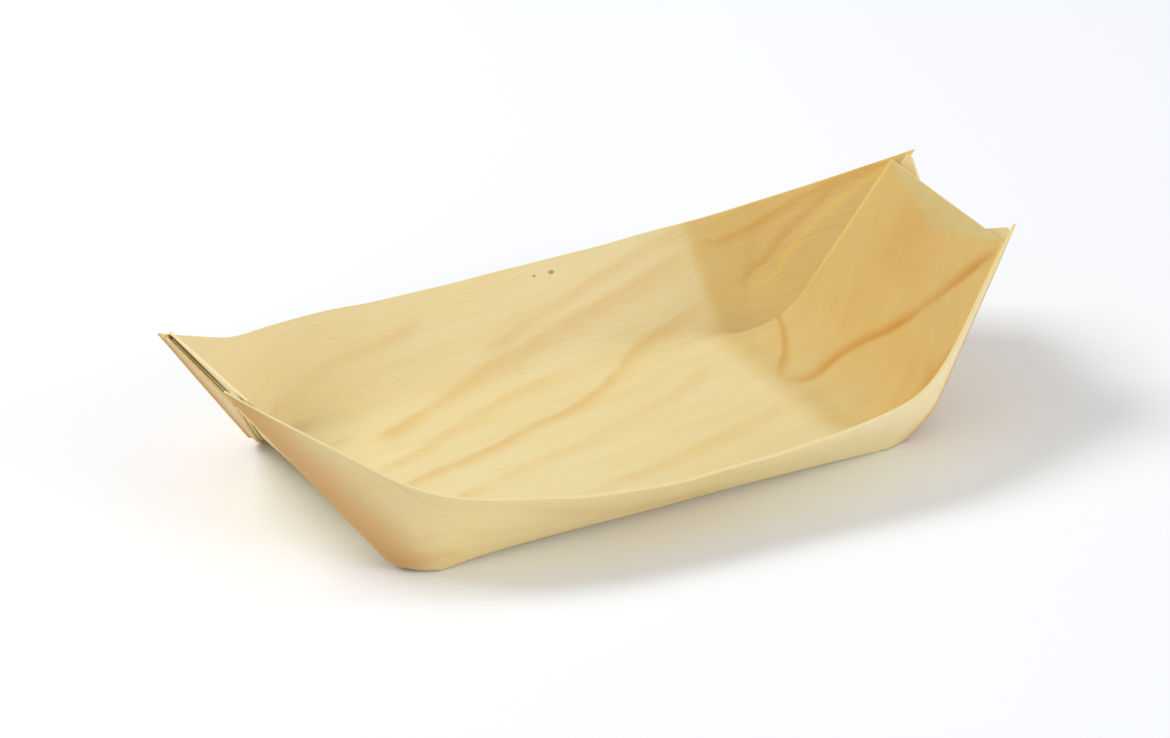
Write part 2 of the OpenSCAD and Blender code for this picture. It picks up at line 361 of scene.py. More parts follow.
    def edge_points(self, run: Array) -> Array:
        """Free edge of the corner facet, past all layers of the pleat and clear of the table."""
        z, q, r = self.sizes, self.fold_points(run), self.apex
        rise = smoothstep(*z.foot_rise, np.asarray(run) / self.arc_length)
        share = z.foot_share + (1 - z.foot_share) * rise
        reach = 1 + share * z.stack / np.sum((q - r) * self._outward(run), axis=-1)
        drop = r[2] - q[..., 2]
        low = np.where(drop > 0, r[2] / np.where(drop > 0, drop, 1.0), np.inf)
        return r + np.minimum(reach, low)[..., None] * (q - r)

    def edge_normals(self, run: Array) -> Array:
        """Outward directions of the corner facet along its rulings."""
        arm, step = self.apex, RULING_STEP * self.arc_length
        a = self.edge_points(np.maximum(run - step, 0.0)) - arm
        b = self.edge_points(np.maximum(run, step)) - arm
        n = unit(np.cross(a, b))
        return np.where(n[..., 1:2] > 0, n, -n)

    def side_y(self, offset: float, run: Array) -> Array:
        """Half width of a layer at that offset, where it meets the corner facet."""
        run = np.asarray(run, float)
        arm, at = self.apex, run
        for _ in range(SIDE_ROUNDS):
            q = self.fold_points(at)
            n = self._outward(at)
            along = np.stack([-n[..., 2], np.zeros_like(at), n[..., 0]], axis=-1)
            grow = offset / np.sum((q - arm) * n, axis=-1)
            at = np.maximum(run - grow * np.sum((q - arm) * along, axis=-1), 0.0)
        q = self.fold_points(at)
        grow = offset / np.sum((q - arm) * self._outward(at), axis=-1)
        y = q[..., 1] + grow * (q[..., 1] - arm[1])
        return self.half + y - self.sizes.fold_clearance

    def flap_edge(self, offset: float, run: Array, top: float) -> Array:
        """Inner edge of a flap: up its crease to the tip, then back along the blank's cut edge."""
        flat = self.profile(offset, run)
        foot = self.profile(0.0, self.arc_length)
        p = (flat - foot) @ np.array([math.cos(self.slope), math.sin(self.slope)])
        a, b = self.flap_foot, self.flap_tip
        end_y = self.half - (self.arc_length + top) * self.slimming
        crease = a[1] + (b[1] - a[1]) * (p - a[0]) / (b[0] - a[0])
        cut = b[1] + (end_y - b[1]) * (p - b[0]) / (top - b[0])
        return np.where(p < b[0], crease, cut)

    def on_blank(self, run: Array, inward: Array, turn: float) -> Array:
        """Place on the flat blank of a pleat's point.

        Args:
            run: Distance up the panel.
            inward: Distance from the line of the bottom's corner towards the middle.
            turn: Angle by which the pleat turned the point about the bottom corner.

        Returns:
            Array of (along, across) on the blank, for the starboard side of this end.
        """
        a = run * math.cos(turn) - inward * math.sin(turn)
        b = run * math.sin(turn) + inward * math.cos(turn)
        return np.stack([self.sign * (self.bottom_end + a), self.half - b], axis=-1)


@dataclass
class Skin:
    """Two faces of a piece of veneer, point by point, and what its finish needs to know.

    Attributes:
        inner: Points of the inner face.
        outer: Points of the outer face.
        quads: Faces over the points.
        blank: Places of the points on the flat blank.
        masks: Point values for the inner and the outer face.
        seam: Points on an edge that runs on into the next field of the blank.
    """

    inner: Array
    outer: Array
    quads: Array
    blank: Array
    masks: Masks
    seam: Array

    @staticmethod
    def grid(inner: Array, outer: Array, blank: Array, masks: Masks, seam: Array) -> "Skin":
        """A skin over a grid of rows and columns."""
        rows, cols = inner.shape[:2]
        i, j = np.meshgrid(np.arange(rows - 1), np.arange(cols - 1), indexing="ij")
        a = (i * cols + j).ravel()
        quads = np.stack([a, a + 1, a + cols + 1, a + cols], axis=1)
        flat = {k: (v[0].ravel(), v[1].ravel()) for k, v in masks.items()}
        return Skin(inner.reshape(-1, 3), outer.reshape(-1, 3), quads, blank.reshape(-1, 2), flat,
                    seam.ravel().astype(bool))

    @staticmethod
    def joined(skins: Sequence["Skin"]) -> "Skin":
        """Several skins as one."""
        starts = np.cumsum([0] + [len(s.inner) for s in skins])
        masks = {k: tuple(np.concatenate([s.masks[k][f] for s in skins]) for f in (0, 1))
                 for k in skins[0].masks}
        quads = np.concatenate([s.quads + n for s, n in zip(skins, starts)])
        inner, outer, blank, seam = (np.concatenate([getattr(s, name) for s in skins])
                                     for name in ("inner", "outer", "blank", "seam"))
        return Skin(inner, outer, quads, blank, masks, seam)

    def mirrored(self, x: int, y: int) -> "Skin":
        """This skin on another end or side."""
        flip = np.array([x, y, 1])
        blank = self.blank * np.array([1, y])
        return Skin(self.inner * flip, self.outer * flip, self.quads, blank, self.masks, self.seam)


@dataclass(frozen=True)
class HandWork:
    """The slight unevenness that folding by hand leaves in the veneer.

    Attributes:
        depth: Largest wave.
        wave: Length of the longest wave.
        rise: Heights over the table between which the waves grow to their full depth.
        tips: Shares of the half length between which they fade out towards the ears.
        side, lift: Waves across and up: their size, pitch along and across the boat, and phase.
    """

    depth: float = 0.22 * MM
    wave: float = 62 * MM
    rise: Span = (1.5 * MM, 16 * MM)
    tips: Span = (0.93, 1.0)
    side: tuple[Wave, ...] = ((0.7, 1.0, 0.0, 0.7), (0.35, 2.3, 0.4, 1.9))
    lift: tuple[Wave, ...] = ((0.6, 0.8, 1.0, 2.1), (0.24, 2.9, 0.0, 0.3))

    def applied(self, points: Array) -> Array:
        """Points moved by the waves, which touching layers share."""
        x, y, z = points.T
        k = 2 * math.pi / self.wave
        fade = 1 - smoothstep(*self.tips, np.abs(x) / CAD_BOX[1][0])
        depth = smoothstep(*self.rise, z) * fade * self.depth
        across, up = (sum(size * np.sin(k * (along * x + over * y) + phase)
                          for size, along, over, phase in waves) for waves in (self.side, self.lift))
        return points + np.stack([0 * x, depth * across, depth * up], axis=1)


@dataclass(frozen=True)
class CutEdge:
    """How a cut edge of the veneer is rounded: shares of the thickness and how far each stands out."""

    shares: tuple[float, ...] = (0.14, 0.5, 0.86)
    bulges: tuple[float, ...] = (0.07 * MM, 0.1 * MM, 0.07 * MM)


class VeneerMesh:
    """Builds the closed mesh of a piece of veneer, with rounded cut edges.

    Attributes:
        skin: Both faces of the piece.
        edge: Rounding of the cut edges.
        inner_at, outer_at: Points of both faces, as uneven as hand work leaves them.
        key: Place of each point, the same for points that lie on each other.
        bm, layers, cut, uv: The mesh under work, its masks and its map of the blank.
        place: Place on the blank of each corner.
        inner, outer: Corners of both faces.
        faces: Faces made so far, with 1 for those of cut edges.
    """

    def __init__(self, skin: Skin, hand: HandWork, edge: CutEdge) -> None:
        """Start with the corners of both faces."""
        self.skin, self.edge = skin, edge
        self.inner_at, self.outer_at = hand.applied(skin.inner), hand.applied(skin.outer)
        self.key = [tuple(k) for k in np.round(skin.inner / SAME_POINT).astype(np.int64)]
        self.bm = bmesh.new()
        self.layers = {k: self.bm.verts.layers.float.new(k.value) for k in skin.masks}
        self.cut = self.bm.loops.layers.float.new(Mask.CUT.value)
        self.uv = self.bm.loops.layers.uv.new(BLANK_UV)
        self.place: dict[BMVert, Array] = {}
        self.inner = [self.corner(p, n, 0) for n, p in enumerate(self.inner_at)]
        self.outer = [self.corner(p, n, 1) for n, p in enumerate(self.outer_at)]
        self.faces: list[tuple[BMFace, float]] = []

    def corner(self, point: Array, n: int, face: int) -> BMVert:
        """A corner of the mesh, with the masks of one face and the place of a point of the skin."""
        made = self.bm.verts.new(point)
        for k, layer in self.layers.items():
            made[layer] = float(self.skin.masks[k][face][n])
        self.place[made] = self.skin.blank[n]
        return made

    def sheets(self) -> list[RimEdge]:
        """Make both faces.

        Returns:
            Their free edges: both points, whether the face runs from first to second, and its middle.
        """
        edges: dict[tuple[int, int], RimEdge | None] = {}
        for q in self.skin.quads:
            self.faces.append((self.bm.faces.new([self.inner[i] for i in q]), 0.0))
            self.faces.append((self.bm.faces.new([self.outer[i] for i in reversed(q)]), 0.0))
            middle = self.inner_at[q].mean(0)
            for a, b in zip(q, np.roll(q, -1)):
                pair = (int(min(a, b)), int(max(a, b)))
                edges[pair] = None if pair in edges else (*pair, bool(a == pair[0]), middle)
        single = {e: tuple(sorted((self.key[e[0]], self.key[e[1]]))) for e in edges if edges[e]}
        count = Counter(single.values())
        return [edges[e] for e, ends in single.items() if count[ends] == 1 and ends[0] != ends[1]]

    def ladders(self, rim: list[RimEdge]) -> dict[int, list[BMVert]]:
        """Corners through the thickness at each point of the rim, pushed out where the edge is cut."""
        out: dict[tuple[int, ...], Array] = {}
        for a, b, _, middle in rim:
            line = unit(self.inner_at[b] - self.inner_at[a])
            away = (self.inner_at[a] + self.inner_at[b]) / 2 - middle
            away = unit(away - line * (away @ line))
            for n in (a, b):
                out[self.key[n]] = out.get(self.key[n], np.zeros(3)) + away
        ladder = {}
        for n in {m for edge in rim for m in edge[:2]}:
            a, b, seam = self.inner_at[n], self.outer_at[n], int(self.skin.seam[n])
            push = np.zeros(3) if seam else unit(out[self.key[n]])
            steps = [self.corner(a * (1 - share) + b * share + push * bulge, n, seam)
                     for share, bulge in zip(self.edge.shares, self.edge.bulges)]
            ladder[n] = [self.inner[n], *steps, self.outer[n]]
        return ladder

    def build(self, name: str) -> Object:
        """The piece, closed along its rim, with its masks and its map of the blank."""
        bm, rim, crisp = self.bm, self.sheets(), []
        ladder = self.ladders(rim)
        for a, b, forward, _ in rim:
            p, q = (ladder[b], ladder[a]) if forward else (ladder[a], ladder[b])
            is_cut = 0.0 if self.skin.seam[a] and self.skin.seam[b] else 1.0
            self.faces += [(bm.faces.new((p[k], q[k], q[k + 1], p[k + 1])), is_cut)
                           for k in range(len(p) - 1)]
            crisp += [(p[0], q[0]), (p[-1], q[-1])]
        for face, is_cut in self.faces:
            face.smooth = True
            for loop in face.loops:
                loop[self.cut] = is_cut
                loop[self.uv].uv = self.place[loop.vert]
        for ends in crisp:
            line = bm.edges.get(ends)
            if line:
                line.smooth = False
        bmesh.ops.remove_doubles(bm, verts=bm.verts, dist=WELD)
        bmesh.ops.dissolve_degenerate(bm, edges=bm.edges, dist=SLIVER)
        bmesh.ops.recalc_face_normals(bm, faces=bm.faces)
        open_edges = sum(1 for e in bm.edges if not e.is_manifold)
        mesh = bpy.data.meshes.new(name)
        bm.to_mesh(mesh)
        bm.free()
        LOG.info("%s: %d faces, %d open edges", name, len(mesh.polygons), open_edges)
        return linked(name, mesh)


class Wire:
    """A number in a node tree that can be reckoned with like a plain one."""

    def __init__(self, tree: NodeTree, socket: NodeSocket) -> None:
        """Wrap an output socket."""
        self.tree, self.socket = tree, socket

    def math(self, operation: str, *others: "Wire | float", clamp: bool = False) -> "Wire":
        """One Math node fed by this number and the others."""
        node = self.tree.nodes.new("ShaderNodeMath")
        node.operation, node.use_clamp = operation, clamp
        return Wire(self.tree, feed(node, dict(enumerate((self, *others)))).outputs[0])

    def __add__(self, other: "Wire | float") -> "Wire":
        """Sum."""
        return self.math("ADD", other)

    def __sub__(self, other: "Wire | float") -> "Wire":
        """Difference."""
        return self.math("SUBTRACT", other)

    def __mul__(self, other: "Wire | float") -> "Wire":
        """Product."""
        return self.math("MULTIPLY", other)

    def __truediv__(self, other: "Wire | float") -> "Wire":
        """Quotient."""
        return self.math("DIVIDE", other)

    def less_from(self, whole: float) -> "Wire":
        """What is left of a whole."""
        return self.math("MULTIPLY", -1.0) + whole

    def clamped(self) -> "Wire":
        """This number, kept between 0 and 1."""
        return self.math("MULTIPLY", 1.0, clamp=True)

    def step(self, low: float, high: float) -> "Wire":
        """Soft step from 0 at low to 1 at high."""
        node = self.tree.nodes.new("ShaderNodeMapRange")
        node.interpolation_type = "SMOOTHSTEP"
        feed(node, {"Value": self, "From Min": low, "From Max": high})
        return Wire(self.tree, node.outputs["Result"])


def feed(node: Node, values: dict[int | str, object]) -> Node:
    """Link or set inputs of a node.

    Args:
        node: The node.
        values: A wire, a socket or a plain value for each input, by its place or name.

    Returns:
        The same node.
    """
    for label, value in values.items():
        source = value.socket if isinstance(value, Wire) else value
        if isinstance(source, NodeSocket):
            node.id_data.links.new(source, node.inputs[label])
        else:
            node.inputs[label].default_value = source
    return node


def most(wires: Iterable[Wire]) -> Wire:
    """The largest of several numbers."""
    return reduce(lambda one, other: one.math("MAXIMUM", other), wires)


def switch(test: Wire, yes: Wire | float, no: Wire | float) -> Wire:
    """One of two numbers, by a test that is 0 or 1."""
    return test * yes + test.less_from(1.0) * no


@dataclass
class TroughSkins:
    """Geometry nodes that bend a flat grid into the trough between the two ends.

    Attributes:
        sizes: Sizes of the blank.
        bow, stern: Forms of the ends.
        stations: Points along the trough.
        flat, bent, wall: Steps over half the bottom, round the bend and up the wall.
    """

    sizes: BlankSizes
    bow: EndForm
    stern: EndForm
    stations: int = 181
    flat: int = 22
    bent: int = 12
    wall: int = 34

    @property
    def half(self) -> int:
        """Steps from the middle of the bottom to the rim."""
        return self.flat + self.bent + self.wall

    def inputs(self) -> dict[str, float]:
        """Named sizes of the tree."""
        z = self.sizes
        return {"Bow Bottom": self.bow.bottom_end, "Stern Bottom": self.stern.bottom_end,
                "Bow Half": self.bow.half, "Stern Half": self.stern.half,
                "Half Blank": z.blank_width / 2, "Veneer": z.veneer,
                "Mid Flare": z.mid_flare, "Bow Flare": self.bow.flare, "Stern Flare": self.stern.flare,
                "Mid Bend": z.mid_bend, "Corner Bend": z.corner_bend, "Offset": 0.0}

    def tree(self, material: Material) -> NodeTree:
        """The node tree: a grid, bent by the boat's rule, with its material set."""
        tree = bpy.data.node_groups.new("trough_skin", "GeometryNodeTree")
        face = tree.interface
        face.new_socket("Geometry", in_out="INPUT", socket_type="NodeSocketGeometry")
        for label, value in self.inputs().items():
            face.new_socket(label, in_out="INPUT", socket_type="NodeSocketFloat").default_value = value
        face.new_socket("Geometry", in_out="OUTPUT", socket_type="NodeSocketGeometry")
        nodes = tree.nodes
        source = nodes.new("NodeGroupInput")
        size = {label: Wire(tree, source.outputs[label]) for label in self.inputs()}
        grid = feed(nodes.new("GeometryNodeMeshGrid"), {
            "Size X": 1.0, "Size Y": 2.0, "Vertices X": self.stations, "Vertices Y": 2 * self.half + 1})
        here = nodes.new("GeometryNodeInputPosition")
        split = feed(nodes.new("ShaderNodeSeparateXYZ"), {0: here.outputs[0]})
        u, w = Wire(tree, split.outputs["X"]) + 0.5, Wire(tree, split.outputs["Y"])
        side, reach = w.math("SIGN"), w.math("ABSOLUTE") * float(self.half)
        x = u * (size["Bow Bottom"] + size["Stern Bottom"]) - size["Bow Bottom"]
        aft = x.math("GREATER_THAN", 0.0)
        along = x.math("ABSOLUTE") / switch(aft, size["Stern Bottom"], size["Bow Bottom"])
        along2 = along * along
        end_flare = switch(aft, size["Stern Flare"], size["Bow Flare"])
        slope = size["Mid Flare"] + (end_flare - size["Mid Flare"]) * along2
        bend = size["Corner Bend"] + (size["Mid Bend"] - size["Corner Bend"]) * along2.less_from(1.0)
        lost = bend * (slope * 0.5).math("TANGENT")
        corner = size["Bow Half"] + (size["Stern Half"] - size["Bow Half"]) * u
        start = corner - lost
        flat = (reach / float(self.flat)).math("MINIMUM", 1.0)
        turned = ((reach - float(self.flat)) / float(self.bent)).clamped()
        climbed = ((reach - float(self.flat + self.bent)) / float(self.wall)).clamped()
        angle = slope * turned
        run = climbed * (size["Half Blank"] - corner - lost)
        radius = bend + size["Offset"]
        y = flat * start + radius * angle.math("SINE") + run * slope.math("COSINE")
        z = size["Veneer"] + bend - radius * angle.math("COSINE") + run * slope.math("SINE")
        place = feed(nodes.new("ShaderNodeCombineXYZ"), {"X": x, "Y": y * side, "Z": z})
        made = grid.outputs["Mesh"]
        for kind, values in (("GeometryNodeSetPosition", {"Position": place.outputs[0]}),
                             ("GeometryNodeRealizeInstances", {}),
                             ("GeometryNodeSetMaterial", {"Material": material})):
            made = feed(nodes.new(kind), {"Geometry": made, **values}).outputs[0]
        feed(nodes.new("NodeGroupOutput"), {0: made})
        return tree

    def points(self, tree: NodeTree, offset: float) -> Array:
        """Points of one skin.

        Args:
            tree: The node tree.
            offset: Distance outside the inner face.

        Returns:
            Points by station and by place across, from port rim to starboard rim.
        """
        holder = linked("trough_skin", bpy.data.meshes.new("trough_skin"))
        modifier = holder.modifiers.new("trough_skin", "NODES")
        modifier.node_group = tree
        sockets = {s.name: s.identifier for s in tree.interface.items_tree if s.in_out == "INPUT"}
        for label, value in self.inputs().items():
            modifier[sockets[label]] = value
        modifier[sockets["Offset"]] = offset
        mesh = bpy.data.meshes.new_from_object(holder.evaluated_get(bpy.context.evaluated_depsgraph_get()))
        flat = np.zeros(len(mesh.vertices) * 3)
        mesh.vertices.foreach_get("co", flat)
        holder.modifiers.remove(modifier)
        bpy.data.objects.remove(holder)
        bpy.data.meshes.remove(mesh)
        return flat.reshape(self.stations, 2 * self.half + 1, 3)


@dataclass
class Trough:
    """Bottom, both walls and the four corner facets: one shell.

    Attributes:
        sizes: Sizes of the blank.
        ends: Forms of the ends.
        rulings, crowding: Number of a facet's rulings, and how they crowd towards the bottom corner.
        settling: Rulings over which a facet takes over the wall's spacing.
        tip_width: Least length of a ruling.
        easing, eased_reach: Width of the eased turn at the rim, and the widths over which it fades out.
        glow_width, glow_start: Painted highlight along a fold's inner side, a golden line.
        brown_width, brown_start: Painted brown shade along a fold's outer side.
        bottom_shade, bottom_fade: Slight painted shade of the bottom, and where it ends.
        outside_change: Where the painted shade or light of the outside changes from the bow's to the
            stern's.
    """

    sizes: BlankSizes
    ends: dict[End, EndForm]
    rulings: int = 72
    crowding: float = 1.15
    settling: int = 14
    tip_width: float = 0.6 * MM
    easing: float = 9 * MM
    eased_reach: Span = (1.6, 3.0)
    glow_width: Span = (0.4 * MM, 2.6 * MM)
    glow_start: Span = (9 * MM, 24 * MM)
    brown_width: Span = (0.5 * MM, 15 * MM)
    brown_start: Span = (0.0, 9 * MM)
    bottom_shade: float = 0.1
    bottom_fade: Span = (35 * MM, 50 * MM)
    outside_change: Span = (0.0, 55 * MM)

    def eased(self, rows: Array, joint: int) -> Array:
        """Rows of a wall and its corner facet with the turn between them softened towards the rim.

        Args:
            rows: Points by row along the boat and by place from the bottom corner to the rim.
            joint: Row at which the wall ends and the facet starts.

        Returns:
            The softened points.
        """
        out = rows.copy()
        for c in range(1, rows.shape[1]):
            steps = np.linalg.norm(np.diff(rows[:, c], axis=0), axis=1)
            s = np.concatenate([[0.0], np.cumsum(steps)])
            s -= s[joint]
            width = self.easing * c / (rows.shape[1] - 1)
            size = np.gradient(s)
            weight = np.exp(-0.5 * ((s[:, None] - s[None, :]) / width) ** 2) * size[None, :]
            soft = weight @ rows[:, c] / weight.sum(axis=1, keepdims=True)
            near = (1 - smoothstep(*self.eased_reach, np.abs(s) / width))[:, None]
            out[:, c] += near * (soft - rows[:, c])
        return out

    def blank_across(self, skins: TroughSkins, inner: Array) -> Array:
        """Places across the blank, measured along the inner face and settled at the rims."""
        steps = np.linalg.norm(np.diff(inner, axis=1), axis=2)
        run = np.concatenate([np.zeros((len(inner), 1)), np.cumsum(steps, axis=1)], axis=1)
        run -= run[:, skins.half:skins.half + 1]
        return run * (self.sizes.blank_width / 2 / np.abs(run[:, -1:]))

    def facet(self, form: EndForm, wall_inner: Array, wall_outer: Array) -> Skin:
        """One starboard corner facet: straight rulings from the rim to the fold, towards one apex.

        Args:
            form: The end it belongs to.
            wall_inner: Inner points of the wall's end, from the bottom corner to the rim.
            wall_outer: Outer points of the same.

        Returns:
            The skin of the facet.
        """
        z = self.sizes
        whole = form.arc_length + form.ear_run
        runs = whole * (np.arange(1, self.rulings + 1) / self.rulings) ** self.crowding
        corner = np.array([form.bottom_end, form.half, z.veneer])
        arm, edge = form.apex, form.edge_points(runs)
        ray = runs / math.cos(form.panel_angle)
        reach = np.linalg.norm(edge - arm, axis=1)
        near_rim = (form.fan - 1) * form.wall / (form.fan * form.wall - ray * math.sin(form.rim_angle))
        near_rim = np.minimum(near_rim, 1 - self.tip_width / reach)[:, None]
        rim = arm + near_rim * (edge - arm)
        far = np.linalg.norm(wall_inner - wall_inner[-1], axis=1)
        even = np.linspace(1, 0, len(far))
        settle = np.minimum(1.0, np.arange(1, self.rulings + 1) / self.settling)[:, None]
        share = ((1 - settle) * far / far[0] + settle * even)[:, :, None]
        inner = corner + rim[:, None] + share * (edge - rim)[:, None]
        outer = inner + z.veneer * form.edge_normals(runs)[:, None]
        ends = np.stack([ray * math.cos(form.rim_angle), ray * math.sin(form.rim_angle)], 1)
        root = np.array([0.0, form.fan * form.wall])
        flat_rim = root + near_rim * (ends - root)
        blank = flat_rim[:, None] + share * (ends - flat_rim)[:, None] + [form.bottom_end, form.half]
        foot = np.stack([np.full(len(far), form.bottom_end), form.half + form.wall * (1 - far / far[0])], 1)
        inner = np.concatenate([wall_inner[None], inner])
        outer = np.concatenate([wall_outer[None], outer])
        blank = np.concatenate([foot[None], blank])
        blank[..., 0] *= form.sign
        near_fold = np.linalg.norm(inner - inner[:, :1], axis=2)
        zero = np.zeros(inner.shape[:2])
        past = np.abs(blank[..., 0]) - form.bottom_end
        # painted highlight along the fold's inner side, and painted brown shade along its outer side
        glow = (1 - smoothstep(*self.glow_width, near_fold)) * smoothstep(*self.glow_start, past)
        brown = (1 - smoothstep(*self.brown_width, near_fold)) * smoothstep(*self.brown_start, past)
        flat = 1 - smoothstep(*FLAT_RISE, inner[..., 2])
        # painted shade of this end, or painted light where it is below 0, with a warm painted glow over the
        # shade
        shade = form.wall_shade(form.bottom_end + past, flat)
        glow = np.maximum(glow, SHADE_GLOW * np.maximum(shade, 0.0) * (1 - flat))
        seam = zero.copy()
        seam[:, 0] = 1
        masks = face_masks(zero.shape, {Mask.BACKED: (shade, zero + form.outside), Mask.CREASE: (glow, zero),
                                        Mask.BROWNED: (zero, brown)})
        return Skin.grid(inner, outer, blank, masks, seam)

    def mitred(self, form: EndForm, wall_inner: Array, bent: int) -> Array:
        """Outer points of the wall's end, mitred with the corner facet.

        Args:
            form: The end it belongs to.
            wall_inner: Inner points of the wall's end, from the bottom corner to the rim.
            bent: Steps round the bend from bottom to wall.

        Returns:
            The outer points.
        """
        n = np.array([0.0, math.sin(form.flare), -math.cos(form.flare)])
        m = form.edge_normals(np.array([2 * RULING_STEP * form.arc_length]))[0]
        mitre = self.sizes.veneer * (n + m) / (1 + n @ m)
        steps = np.minimum(1.0, np.arange(len(wall_inner)) / bent)[:, None]
        turn = form.flare * steps
        plain = np.concatenate([0 * turn, np.sin(turn), -np.cos(turn)], 1) * self.sizes.veneer
        return wall_inner + (1 - steps) * plain + steps * mitre

    def masks(self, inner: Array) -> Masks:
        """Masks of bottom and walls."""
        x, zero = inner[..., 0], np.zeros(inner.shape[:2])
        flat = 1 - smoothstep(*FLAT_RISE, inner[..., 2])
        # painted shade of both ends, a slight painted shade on the bottom, and a warm painted glow over the
        # shade
        shade = sum(form.wall_shade(form.sign * x, flat) for form in self.ends.values())
        shade += self.bottom_shade * flat * (1 - smoothstep(*self.bottom_fade, np.abs(x)))
        glow = SHADE_GLOW * np.maximum(shade, 0.0) * (1 - flat)
        # painted shade or painted light of the outside, changing from the bow's to the stern's
        bow, stern = self.ends[End.BOW].outside, self.ends[End.STERN].outside
        outside = bow + (stern - bow) * smoothstep(*self.outside_change, x)
        return face_masks(zero.shape, {Mask.BACKED: (shade, outside), Mask.CREASE: (glow, zero)})

    def skin(self, skins: TroughSkins, tree: NodeTree) -> Skin:
        """Both faces of the whole trough."""
        inner = skins.points(tree, 0.0)
        outer = skins.points(tree, self.sizes.veneer)
        mid, corner = skins.half, skins.half + skins.flat
        across = self.blank_across(skins, inner)
        parts = []
        for form in self.ends.values():
            row = 0 if form.end is End.BOW else skins.stations - 1
            flip = np.array([form.sign, 1, 1])
            wall_in = inner[row, corner:] * flip
            wall_out = self.mitred(form, wall_in, skins.bent)
            facet = self.facet(form, wall_in, wall_out)
            shape = (self.rulings + 1, len(wall_in), 3)
            rows = np.arange(skins.stations // 2, skins.stations)
            rows = rows if form.end is End.STERN else rows[::-1] - (skins.stations // 2)
            outer[row, corner:] = wall_out * flip
            for skin, name in ((inner, "inner"), (outer, "outer")):
                wall = skin[rows, corner:] * flip
                whole = np.concatenate([wall[:-1], getattr(facet, name).reshape(shape)])
                whole = self.eased(whole, len(wall) - 1)
                skin[rows, corner:] = whole[:len(wall)] * flip
                setattr(facet, name, whole[len(wall) - 1:].reshape(-1, 3))
                skin[rows, :2 * mid - corner + 1] = (skin[rows, corner:] * np.array([1, -1, 1]))[:, ::-1]
            parts += [facet.mirrored(form.sign, side.value) for side in Side]
        blank = np.stack([inner[..., 0], across], axis=2)
        seam = np.zeros(inner.shape[:2])
        seam[[0, -1], 2 * mid - corner:corner + 1] = 1
        return Skin.joined([Skin.grid(inner, outer, blank, self.masks(inner), seam), *parts])


